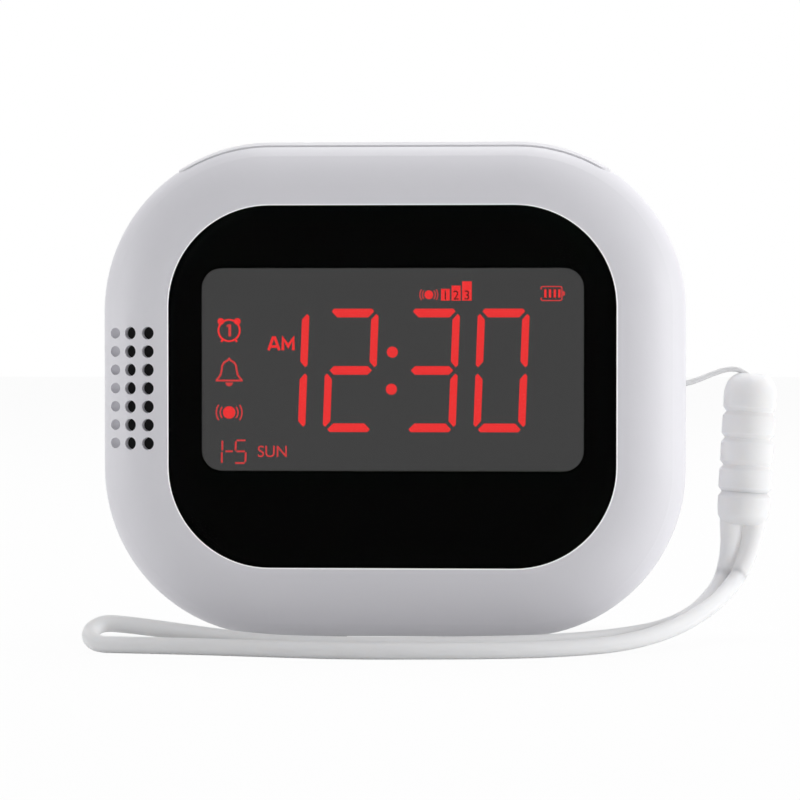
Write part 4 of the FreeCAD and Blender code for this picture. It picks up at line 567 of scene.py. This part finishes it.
def meshPoints(mesh):
    spots = np.empty(len(mesh.vertices) * 3)
    mesh.vertices.foreach_get("co", spots)
    return spots.reshape(-1, 3)


def spinProfile(name, profile, foot, axis, around):
    # carries (radius, distance) pairs round a leaning axis
    axis = np.array(axis) / np.linalg.norm(axis)
    side = np.cross(axis, (0, 1, 0))
    side /= np.linalg.norm(side)
    other = np.cross(axis, side)
    turn = np.linspace(0, 2 * np.pi, around, endpoint=False)
    ring = np.cos(turn)[:, None] * side + np.sin(turn)[:, None] * other
    radius, distance = profile[:, 0, None, None], profile[:, 1, None, None]
    points = np.array(foot) + axis * distance + radius * ring[None]
    item = gridMesh(name, points * mm, closeV=True)
    weldDoubles(item)
    return item


def addGrip(v):
    # from the lowest groove up to the crown, closed below and in the crown's cup
    low, top, lip = v["grooves"][0], v["length"], v["crownRound"]
    bend = np.cos(np.linspace(0, np.pi / 2, v["roundRows"])[1:]) ** 2
    t = np.concatenate([np.linspace(low, top - lip, v["rows"]), top - lip * bend])
    outer = np.column_stack([gripRadius(v, t), t])
    inset, drop = v["underLip"]
    under = [(radius, low - down) for radius, down in v["under"]]
    under.append((outer[0, 0] - inset, low - drop))
    cup = np.array([(radius, top - drop) for radius, drop in v["cup"]])
    profile = np.vstack([under, outer, cup])
    item = spinProfile("strapGrip", profile, v["foot"], v["lean"], v["around"])
    finish(item, look["silicone"])
    return item


def linePoints(item):
    # points along a cord's own spline, in millimetres
    bare = item.data.copy()
    bare.bevel_depth = 0
    return meshPoints(bakedMesh(linkObject("bareLine", bare))) / mm


def collarPoints(v, line):
    # rings round one strand's end, wide under the grip and slimmer than the strand at the end
    keep = line[:, 2] > v["levels"][0]
    run = line[:int(np.argmin(keep))]
    far = np.linspace(0, 1, v["rows"]) * (len(run) - 1)
    middle = np.column_stack([np.interp(far, np.arange(len(run)), run[:, k]) for k in range(3)])
    radius = np.interp(middle[:, 2], v["levels"], v["radii"])
    along = np.gradient(middle, axis=0)
    along /= np.linalg.norm(along, axis=1)[:, None]
    side = np.cross(along, (0, 1, 0))
    side /= np.linalg.norm(side, axis=1)[:, None]
    other = np.cross(along, side)
    turn = np.linspace(0, 2 * np.pi, v["around"], endpoint=False)[None, :, None]
    ring = np.cos(turn) * side[:, None] + np.sin(turn) * other[:, None]
    rings = middle[:, None] + radius[:, None, None] * ring
    first, last = (np.repeat(spot[None, None], v["around"], axis=1)
                   for spot in (middle[0], middle[-1]))
    return np.vstack([first, rings, last])


def fuse(name, parts, voxel, passes):
    # overlapping closed parts become one skin, with its inner corners smoothed
    bm = bmesh.new()
    for part in parts:
        bm.from_mesh(bakedMesh(part))
    bmesh.ops.recalc_face_normals(bm, faces=bm.faces)
    joined = bpy.data.meshes.new("joinedParts")
    bm.to_mesh(joined)
    bm.free()
    item = linkObject("joinedParts", joined)
    skin = item.modifiers.new("skin", "REMESH")
    skin.mode = "VOXEL"
    skin.voxel_size = voxel
    soften = item.modifiers.new("soften", "SMOOTH")
    soften.factor = 0.5
    soften.iterations = passes
    solid = bakedMesh(item)
    solid.name = name
    solid.polygons.foreach_set("use_smooth", np.full(len(solid.polygons), True))
    return linkObject(name, solid)


def addFork(v, g):
    # the lowest rib, with a neck that goes up inside the grip, and a collar round each strand
    low = g["grooves"][0]
    bend = 1 - np.cos(np.linspace(0, np.pi / 2, g["roundRows"])[:-1])
    t = np.concatenate([g["footRound"] * bend, np.linspace(g["footRound"], low, v["ribRows"])])
    outer = np.column_stack([gripRadius(g, t), t])
    neck = outer[-1, 0] - v["neckGap"]
    rise, top = v["neckRise"]
    flat = [(radius, 0.0) for radius in g["footFlat"]]
    profile = np.vstack([flat, outer, [(neck, low + rise), (neck, low + top), (0.0, low + top)]])
    parts = [spinProfile("lowRib", profile, g["foot"], g["lean"], g["around"])]
    line = linePoints(wristStrap)
    for name, run in (("rightEnd", line), ("leftEnd", line[::-1])):
        collar = gridMesh(name, collarPoints(v, run) * mm, closeV=True, flip=True)
        weldDoubles(collar)
        parts.append(collar)
    item = fuse("strapFork", parts, v["voxelM"], v["passes"])
    finish(item, look["silicone"])
    return item


strapGrip = addGrip(grip)
strapFork = addFork(fork, grip)
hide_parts("strap_cap")
print("grip moulded:", len(strapFork.data.polygons), "faces in its fork")

# Display figures: their middle and depths in metres, the shapes on it in millimetres
display = {
    "middleZ": 0.0414,
    "front": -0.01682,
    "back": -0.01672,
    "slant": 0.038,
}


def onFace(points, slant=0.0):
    # display millimetres, leaning by the slant, to places on the display's face
    flat = np.asarray(points, float)
    across = flat[:, 0] + slant * flat[:, 1]
    return np.column_stack([across * mm, display["middleZ"] + flat[:, 1] * mm])


digits = {
    "middles": (-16.58, -6.21, 5.94, 16.32),
    "shown": ("bc", "abged", "abgcd", "abcdef"),
    "half": 3.32, "rise": 8.57, "side": 4.45, "sideLength": 7.96, "sideThick": 1.09,
    "barLength": 6.35, "barThick": 1.29, "innerBevel": 0.86, "outerBevel": 0.34, "tip": 0.68,
    "drop": -0.07, "colon": ((0.02, 2.66), (-0.13, -2.88)), "dot": 0.83,
}


def segmentShape(length, thick, inner, outer, tip, bevelBoth=False):
    # a lit bar: the inner edge is cut back more than the outer, with a blunt tip between
    half = length / 2
    if bevelBoth:
        inner = outer = thick * 0.5
        tip = 0.5
    along = np.array([-half + inner, -half, -half + outer, half - outer, half, half - inner])
    across = np.array([0, tip, 1, 1, tip, 0]) * thick - thick / 2
    return np.column_stack([along, across])


def digitOutlines(v):
    # seven segments named a to g, clockwise from the top with g in the middle
    outlines = []
    for middle, shown in zip(v["middles"], v["shown"]):
        for name in shown:
            if name in "agd":
                level = {"a": 1, "g": 0, "d": -1}[name]
                shape = segmentShape(v["barLength"], v["barThick"], v["innerBevel"],
                                     v["outerBevel"], v["tip"], name == "g")
                if name == "d":
                    shape = shape * (1, -1)
                shape = shape + (middle, v["drop"] + level * v["rise"])
            else:
                side = -1 if name in "ef" else 1
                level = 1 if name in "bf" else -1
                shape = segmentShape(v["sideLength"], v["sideThick"], v["innerBevel"],
                                     v["outerBevel"], v["tip"])
                shape = shape[:, ::-1] * (side, 1)
                shape = shape + (middle + side * v["half"], v["drop"] + level * v["side"])
            outlines.append(onFace(shape, display["slant"]))
    return outlines


def discShape(x, y, radius, count=32):
    turn = np.linspace(0, 2 * np.pi, count, endpoint=False)
    return np.column_stack([x + radius * np.cos(turn), y + radius * np.sin(turn)])


def strokeShape(points, width, closed=False):
    # a ribbon of constant width along a polyline, with square ends
    line = np.asarray(points, float)
    if closed:
        before, after = np.roll(line, 1, axis=0), np.roll(line, -1, axis=0)
    else:
        before = np.vstack([line[:1] * 2 - line[1:2], line[:-1]])
        after = np.vstack([line[1:], line[-1:] * 2 - line[-2:-1]])
    first = (line - before) / np.linalg.norm(line - before, axis=1)[:, None]
    second = (after - line) / np.linalg.norm(after - line, axis=1)[:, None]
    turn = first + second
    turn /= np.linalg.norm(turn, axis=1)[:, None]
    side = np.column_stack([-turn[:, 1], turn[:, 0]])
    lengthen = 1 / np.clip((side * np.column_stack([-first[:, 1], first[:, 0]])).sum(1), 0.5, 1)
    offset = side * (width / 2 * lengthen)[:, None]
    left, right = line + offset, line - offset
    if not closed:
        return [np.vstack([left, right[::-1]])]
    pairs = []
    for k in range(len(line)):
        n = (k + 1) % len(line)
        pairs.append(np.array([left[k], left[n], right[n], right[k]]))
    return pairs


def arcLine(x, y, radius, start, end, count=12):
    turn = np.radians(np.linspace(start, end, count))
    return np.column_stack([x + radius * np.cos(turn), y + radius * np.sin(turn)])


lit = digitOutlines(digits)
lit += [onFace(discShape(x, y, digits["dot"])) for x, y in digits["colon"]]

icons = {
    "line": 0.27, "bold": 0.40,
    "alarm": {"at": (-24.46, 5.90), "face": 1.60, "ear": (1.24, 1.36, 0.50), "legWidth": 0.3,
              "leg": ((0.98, -1.38), (1.16, -1.72)), "one": ((0.10, 0.90), (0.10, -0.88)),
              "flag": ((-0.36, 0.60), (0.0, 0.84)), "flagWidth": 0.24},
    "bell": {"at": (-24.46, -0.10), "sillHalf": 2.02, "sillDrop": 1.50,
             "clapperDrop": 1.80, "clapper": 0.56,
             "side": ((0.0, 1.78), (0.22, 1.52), (0.75, 1.22), (1.05, 0.72), (1.13, 0.05),
                      (1.28, -0.62), (1.62, -1.12), (1.92, -1.42))},
    # a shaking dot, and the smaller one beside the level bars
    "shakes": (
        {"at": (-24.47, -6.38), "dot": 0.93, "arcs": ((1.33, 38), (1.93, 36)), "width": 0.2},
        {"at": (5.47, 11.22), "dot": 0.66, "arcs": ((0.97, 40), (1.34, 36)), "width": 0.15},
    ),
    "letterA": (((-18.54, 2.94), (-17.80, 5.01)), ((-16.92, 2.94), (-17.66, 5.01)),
                ((-18.20, 3.50), (-17.26, 3.50))),
    "letterM": ((-16.38, 2.94), (-16.38, 4.74), (-15.58, 3.55), (-14.82, 4.74), (-14.82, 2.94)),
    "letterMWidth": 0.44,
    # weekday range, 1 to 5
    "week": (((-25.50, -10.62), (-25.50, -12.06)), ((-25.58, -12.36), (-25.58, -13.92)),
             ((-25.02, -12.21), (-23.94, -12.21)), ((-22.02, -10.56), (-23.34, -10.56)),
             ((-23.46, -10.72), (-23.52, -12.06)), ((-23.36, -12.21), (-22.10, -12.21)),
             ((-21.98, -12.38), (-22.04, -13.80)), ((-22.16, -13.96), (-23.56, -13.96))),
    "weekWidth": 0.25,
    # left, right and top of each level bar
    "bars": ((7.29, 8.59, 12.10), (8.86, 10.21, 12.59), (10.43, 11.87, 13.22)), "barFoot": 10.35,
    "battery": {"sides": (22.18, 25.30), "levels": (10.35, 12.44), "corner": 0.3, "line": 0.17,
                "end": (0.1, 0.42), "cells": (22.66, 23.35, 24.07, 24.75), "cellWidth": 0.34,
                "cellLevels": (10.80, 12.0), "shade": (22.42, 25.08, 10.62, 12.18),
                "knob": ((0.1, 11.02), (0.44, 11.12), (0.44, 11.67), (0.1, 11.77))},
}


def rectangle(left, right, low, high):
    return np.array([(left, low), (right, low), (right, high), (left, high)])


def shifted(points, x, y):
    return [(x + px, y + py) for px, py in points]


def alarmShapes(v, line):
    # a round face with two ears and two legs, and a figure 1 on it
    x, y = v["at"]
    away, up, radius = v["ear"]
    bold = strokeShape(arcLine(x, y, v["face"], 0, 352.5, 48), line, True)
    for side in (-1, 1):
        bold.append(discShape(x + side * away, y + up, radius, 20))
        bold += strokeShape([(x + side * px, y + py) for px, py in v["leg"]], v["legWidth"])
    thin = strokeShape(shifted(v["one"], x, y), icons["bold"])
    thin += strokeShape(shifted(v["flag"], x, y), v["flagWidth"])
    return bold, thin


def bellShapes(v, line):
    # the bell's side and its mirror image, a sill and half a disc for the clapper
    x, y = v["at"]
    left = [(x - px, y + py) for px, py in v["side"][::-1]]
    thin = strokeShape(left + shifted(v["side"][1:], x, y), line)
    low = y - v["sillDrop"]
    thin += strokeShape([(x - v["sillHalf"], low), (x + v["sillHalf"], low)], line)
    thin.append(arcLine(x, y - v["clapperDrop"], v["clapper"], 180, 360, 12))
    return thin


def batteryShapes(v):
    # a rounded case open at its left end, a knob at the right and four cells
    (left, right), (low, high), c = v["sides"], v["levels"], v["corner"]
    inset, gap = v["end"]
    case = np.vstack([[(left + inset, high - gap)], arcLine(left + c, high - c, c, 180, 90, 6),
                      arcLine(right - c, high - c, c, 90, 0, 6),
                      arcLine(right - c, low + c, c, 0, -90, 6),
                      arcLine(left + c, low + c, c, 270, 180, 6), [(left + inset, low + gap)]])
    thin = strokeShape(case, v["line"])
    thin.append(np.array([(right + px, level) for px, level in v["knob"]]))
    bold = [rectangle(start, start + v["cellWidth"], *v["cellLevels"]) for start in v["cells"]]
    return bold, thin


def iconOutlines(v):
    bold, thin = alarmShapes(v["alarm"], v["line"])
    thin += bellShapes(v["bell"], v["line"])
    for shake in v["shakes"]:
        x, y = shake["at"]
        bold.append(discShape(x, y, shake["dot"]))
        for radius, spread in shake["arcs"]:
            for facing in (0, 180):
                arc = arcLine(x, y, radius, facing - spread, facing + spread)
                thin += strokeShape(arc, shake["width"])
    for points in v["letterA"]:
        bold += strokeShape(points, v["bold"])
    bold += strokeShape(v["letterM"], v["letterMWidth"])
    for points in v["week"]:
        thin += strokeShape(points, v["weekWidth"])
    bold += [rectangle(left, right, v["barFoot"], top) for left, right, top in v["bars"]]
    cells, outline = batteryShapes(v["battery"])
    return bold + cells, thin + outline


# Distances in metres behind the figures' front: the dark figures lie a hair before it, the
# fine icons a hair behind it and the battery's shade behind them
layers = {"fine": 0.00001, "shadeFront": 0.00006, "shadeBack": 0.00001, "dark": -0.00003,
          "wordThick": 0.00006}


def addFigures(name, outlines, front, back, key):
    item = plateMesh(name, outlines, front, back)
    return finish(item, look[key])


bold, thin = iconOutlines(icons)
shade = rectangle(*icons["battery"]["shade"])
front, back = display["front"], display["back"]
addFigures("timeFigures", lit, front, back, "lit")
addFigures("boldIcons", [onFace(o) for o in bold], front, back, "lit")
addFigures("fineIcons", [onFace(o) for o in thin], front + layers["fine"], back, "litThin")
addFigures("batteryShade", [onFace(shade)], front + layers["shadeFront"],
           back + layers["shadeBack"], "litShade")

words = {"SUN": {"at": (-17.98, -12.20), "size": 2.44, "wide": 0.97, "look": "litThin"}}
for level, x in (("1", 7.94), ("2", 9.53), ("3", 11.15)):
    words[level] = {"at": (x, 11.17), "size": 1.95, "wide": 0.95, "look": "litDark"}


def addWord(name, text, v, front, thick, material, turned=False):
    # a flat word, centred on its place, made a mesh and stood upright
    curve = bpy.data.curves.new(name, "FONT")
    curve.body = text
    curve.size = v["size"] * mm
    curve.extrude = thick / 2
    mesh = bakedMesh(linkObject(name, curve))
    spots = meshPoints(mesh)
    centre = (spots.max(0) + spots.min(0)) / 2
    flat = (spots - centre) * (v["wide"], 1, 1)
    x, z = v["at"][0] * mm, v["at"][1] * mm
    if turned:
        places = np.column_stack([x - flat[:, 0], front + flat[:, 2], z + flat[:, 1]])
    else:
        places = np.column_stack([x + flat[:, 0], front - flat[:, 2], z + flat[:, 1]])
    mesh.vertices.foreach_set("co", places.ravel())
    mesh.update()
    mesh.name = name
    return finish(linkObject(name, mesh), material)


for text, v in words.items():
    place = dict(v, at=(v["at"][0], v["at"][1] + display["middleZ"] / mm))
    depth = display["front"] + (layers["dark"] if v["look"] == "litDark" else 0.0)
    addWord("word" + text, text, place, depth, layers["wordThick"], look[v["look"]])
print("display figures drawn")

# Painted highlight round the window: a glowing bead for the bright line at its edge, in millimetres
paintedEdgeHighlight = {"width": 67.1, "height": 54.4, "corner": 15.3, "z": 38.9, "inset": 0.10, "y": -18.97,
             "radius": 0.085, "around": 12}


def roundedPath(width, height, corner, middleZ, count=24):
    # a quarter turn round each corner's centre, joined by straight runs
    x, z = width / 2 - corner, height / 2 - corner
    centres = ((x, z, 0), (-x, z, 90), (-x, -z, 180), (x, -z, 270))
    return np.vstack([arcLine(cx, middleZ + cz, corner, start, start + 90, count)
                      for cx, cz, start in centres])


def addPaintedEdgeHighlight(v):
    # a hair-thin glowing bead carried round the window's rounded rectangle, a painted highlight
    inset = v["inset"]
    path = roundedPath(v["width"] - 2 * inset, v["height"] - 2 * inset, v["corner"] - inset, v["z"])
    step = np.roll(path, -1, axis=0) - np.roll(path, 1, axis=0)
    step /= np.linalg.norm(step, axis=1)[:, None]
    outward = np.column_stack([step[:, 1], -step[:, 0]])
    turn = np.linspace(0, 2 * np.pi, v["around"], endpoint=False)
    across = path[:, None, :] + v["radius"] * np.cos(turn)[None, :, None] * outward[:, None, :]
    depth = np.broadcast_to(v["y"] + v["radius"] * np.sin(turn), across.shape[:2])
    points = np.stack([across[..., 0], depth, across[..., 1]], -1)
    item = gridMesh("windowEdgeHighlight", points * mm, closeU=True, closeV=True)
    return finish(item, look["edge"])


addPaintedEdgeHighlight(paintedEdgeHighlight)

# Printed marks on the back: depths in metres, all else in millimetres
marks = {
    "front": 0.01819, "back": 0.01823, "keyZ": 59.6, "switchZ": 36.4, "line": 0.32,
    "target": {"x": -19.5, "ring": 0.85, "dot": 0.32},
    "menu": {"ends": (-7.5, -5.5), "levels": (-0.75, 0.0, 0.75)},
    "arrows": ((6.5, -1), (19.5, 1)), "arrowHalf": 1.0, "arrowFoot": 0.75, "arrowTip": 0.9,
    "horn": ((-17.6, 0.35), (-17.2, 0.35), (-16.6, 0.9), (-16.6, -0.9), (-17.2, -0.35),
             (-17.6, -0.35)),
    "waves": {"x": -16.9, "radii": (0.9, 1.4), "spread": 38, "share": 0.7},
    "bell": {"x": 17.0, "clapper": (-0.85, 0.28),
             "sides": ((-1.0, -0.6), (-0.65, -0.2), (-0.55, 0.6), (0.0, 1.0), (0.55, 0.6),
                       (0.65, -0.2), (1.0, -0.6))},
    "bolt": ((0.25, 1.2), (-0.6, -0.15), (-0.05, -0.15), (-0.25, -1.2), (0.6, 0.15), (0.05, 0.15)),
    "words": (("OFF", 21.2), ("ON", 12.9), ("OFF", -12.8), ("ON", -21.1)),
    "wordZ": 44.9, "wordSize": 1.7, "wordDepth": 0.00002, "wordThick": 0.00004,
}


def addMarks(v):
    # over the keys: a target, a menu and two arrows; under the slides and the socket: a horn
    # with its waves, a bell and a bolt
    z, low, line = v["keyZ"], v["switchZ"], v["line"]
    target, menu, waves, bell = v["target"], v["menu"], v["waves"], v["bell"]
    shapes = strokeShape(arcLine(target["x"], z, target["ring"], 0, 345, 24), line, True)
    shapes.append(discShape(target["x"], z, target["dot"], 20))
    for level in menu["levels"]:
        shapes += strokeShape([(x, z + level) for x in menu["ends"]], line)
    for x, way in v["arrows"]:
        half, foot, tip = v["arrowHalf"], z - way * v["arrowFoot"], z + way * v["arrowTip"]
        shapes.append([(x - half, foot), (x + half, foot), (x, tip)])
    shapes.append(shifted(v["horn"], 0, low))
    for radius in waves["radii"]:
        arc = arcLine(waves["x"], low, radius, -waves["spread"], waves["spread"], 8)
        shapes += strokeShape(arc, line * waves["share"])
    shapes.append(shifted(bell["sides"], bell["x"], low))
    drop, radius = bell["clapper"]
    shapes.append(discShape(bell["x"], low + drop, radius, 16))
    shapes.append(shifted(v["bolt"], 0, low))
    flat = [np.asarray(shape) * mm for shape in shapes]
    item = plateMesh("backMarks", flat, v["front"], v["back"])
    return finish(item, look["print"])


addMarks(marks)
for word, x in marks["words"]:
    place = {"at": (x, marks["wordZ"]), "size": marks["wordSize"], "wide": 1.0}
    addWord("mark" + word, word, place, marks["front"] + marks["wordDepth"], marks["wordThick"],
            look["print"], turned=True)
print("marks printed")

# Grille cloth behind the sound holes
grille = {"left": -0.04035, "right": -0.03425, "low": 0.0303, "high": 0.0463, "y": -0.0116,
          "bulge": 0.00005, "thickness": 0.0001, "columns": 12, "rows": 28}


def addGrille(v):
    # a flat cloth that bulges forward by half a sine wave across its width
    gridX, gridZ = np.meshgrid(np.linspace(v["left"], v["right"], v["columns"]),
                               np.linspace(v["low"], v["high"], v["rows"]))
    bulge = v["bulge"] * np.sin(np.pi * (gridX - v["left"]) / (v["right"] - v["left"]))
    item = gridMesh("grilleCloth", np.stack([gridX, v["y"] - bulge, gridZ], -1))
    solid = item.modifiers.new("thickness", "SOLIDIFY")
    solid.thickness = v["thickness"]
    return finish(item, look["grille"])


addGrille(grille)

# Black cloth discs part way down the two open columns of holes, painted shade that turns them
# black, in millimetres
paintedHoleShade = {
    "sides": (-39.25, -36.5), "faces": (-17.76, -18.72), "leans": ((0.28, 0.96), (0.18, 0.9837)),
    "middle": 38.65, "pitch": 2.75, "steps": 3, "radius": 0.97, "depth": 1.35, "sag": 0.05,
    "rings": 5, "around": 24, "thicknessM": 0.00008,
}


def addPaintedHoleShade(v):
    # each disc is a shallow bowl, radius by turn, square to its hole
    reach = np.linspace(0, v["radius"], v["rings"])[:, None]
    turn = np.linspace(0, 2 * np.pi, v["around"], endpoint=False)
    flatX, flatZ = reach * np.cos(turn), reach * np.sin(turn)
    bowl = np.broadcast_to(v["sag"] * (1 - (reach / v["radius"]) ** 2), flatX.shape)
    ring = np.arange(flatX.size).reshape(flatX.shape)
    after = np.roll(ring, -1, axis=1)
    quads = np.stack([ring[:-1], after[:-1], after[1:], ring[1:]], -1).reshape(-1, 4)
    verts, faces = [], []
    for x, y, (across, back) in zip(v["sides"], v["faces"], v["leans"]):
        inward = v["depth"] * np.array((across, back, 0))
        for step in range(-v["steps"], v["steps"] + 1):
            middle = np.array((x, y, v["middle"] + v["pitch"] * step)) + inward
            spots = np.stack([middle[0] + flatX * back + bowl * across,
                              middle[1] - flatX * across + bowl * back, middle[2] + flatZ], -1)
            faces.append(quads + len(verts) * flatX.size)
            verts.append(spots.reshape(-1, 3))
    mesh = bpy.data.meshes.new("paintedHoleShade")
    mesh.from_pydata((np.vstack(verts) * mm).tolist(), [], np.vstack(faces).tolist())
    item = linkObject("paintedHoleShade", mesh)
    weldDoubles(item)
    solid = item.modifiers.new("thickness", "SOLIDIFY")
    solid.thickness = v["thicknessM"]
    # painted shade: the near-black discs stand in for the shadow deep in each hole
    return finish(item, look["grille"])


addPaintedHoleShade(paintedHoleShade)
print("cloth laid in the sound holes")

# Floor, world and lamps
stage = {
    "floorSize": 6.0,
    "floorRough": 0.9,
    "floorColour": (0.90, 0.90, 0.90),
    "floorGlow": 0.955,
    "worldColour": (0.975, 0.975, 1.0),
    "worldLevel": 0.36,
    "lampAim": (0, 0, 0.035),
    "lamps": {
        "rightSoft": {"at": (0.97, -0.22, 0.10), "size": 0.6, "power": 7.0},
        "topSoft": {"at": (0.1, 0.28, 1.02), "size": 0.7, "power": 5.6},
        "leftSoft": {"at": (-0.97, -0.16, 0.10), "size": 0.6, "power": 3.3},
    },
}


def seenRay(tree):
    # 1 for what the camera sees, straight on, mirrored or through glass
    path = tree.nodes.new("ShaderNodeLightPath")
    direct = addMath(tree, "MAXIMUM", path.outputs["Is Camera Ray"], path.outputs["Is Glossy Ray"])
    return addMath(tree, "MAXIMUM", direct, path.outputs["Is Transmission Ray"])


def mixShown(tree, share, plain, shown, output):
    # seen rays get the shown shader by its share, and all other rays the plain one
    mix = tree.nodes.new("ShaderNodeMixShader")
    for slot, value in enumerate((share, plain, shown)):
        feed(tree, mix.inputs[slot], value)
    setInputs(tree, tree.nodes[output], Surface=mix.outputs["Shader"])


def addFloor(v):
    # a pale floor that shows nearly white to the camera and keeps the object's shadow
    half = v["floorSize"] / 2
    xs = np.linspace(-half, half, 3)
    gridX, gridY = np.meshgrid(xs, xs)
    item = gridMesh("floor", np.stack([gridX, gridY, np.zeros_like(gridX)], -1), smooth=False)
    material, tree, shader = newMaterial("paleFloor")
    setInputs(tree, shader, Base_Color=(*v["floorColour"], 1), Roughness=v["floorRough"],
              Specular_IOR_Level=0.0)
    glow = tree.nodes.new("ShaderNodeEmission")
    setInputs(tree, glow, Strength=1.0)
    mixShown(tree, addMath(tree, "MULTIPLY", seenRay(tree), v["floorGlow"]),
             shader.outputs["BSDF"], glow.outputs["Emission"], "Material Output")
    item.data.materials.append(material)


def setWorld(v):
    # plain light on the object, white where it is seen
    world = bpy.data.worlds.new("studio")
    world.use_nodes = True
    bpy.context.scene.world = world
    tree = world.node_tree
    background = tree.nodes["Background"]
    setInputs(tree, background, Color=(*v["worldColour"], 1), Strength=v["worldLevel"])
    white = tree.nodes.new("ShaderNodeBackground")
    setInputs(tree, white, Color=(1, 1, 1, 1), Strength=1.0)
    mixShown(tree, seenRay(tree), background.outputs["Background"], white.outputs["Background"],
             "World Output")


def addLamps(v):
    for name, lamp in v["lamps"].items():
        data = bpy.data.lights.new(name, "AREA")
        data.shape = "DISK"
        data.size, data.energy = lamp["size"], lamp["power"]
        item = linkObject(name, data)
        item.location = lamp["at"]
        aim = Vector(v["lampAim"]) - Vector(lamp["at"])
        item.rotation_euler = aim.to_track_quat("-Z", "Y").to_euler()


addFloor(stage)
setWorld(stage)
addLamps(stage)
bpy.context.scene.view_settings.view_transform = "Standard"
print("stage lit")
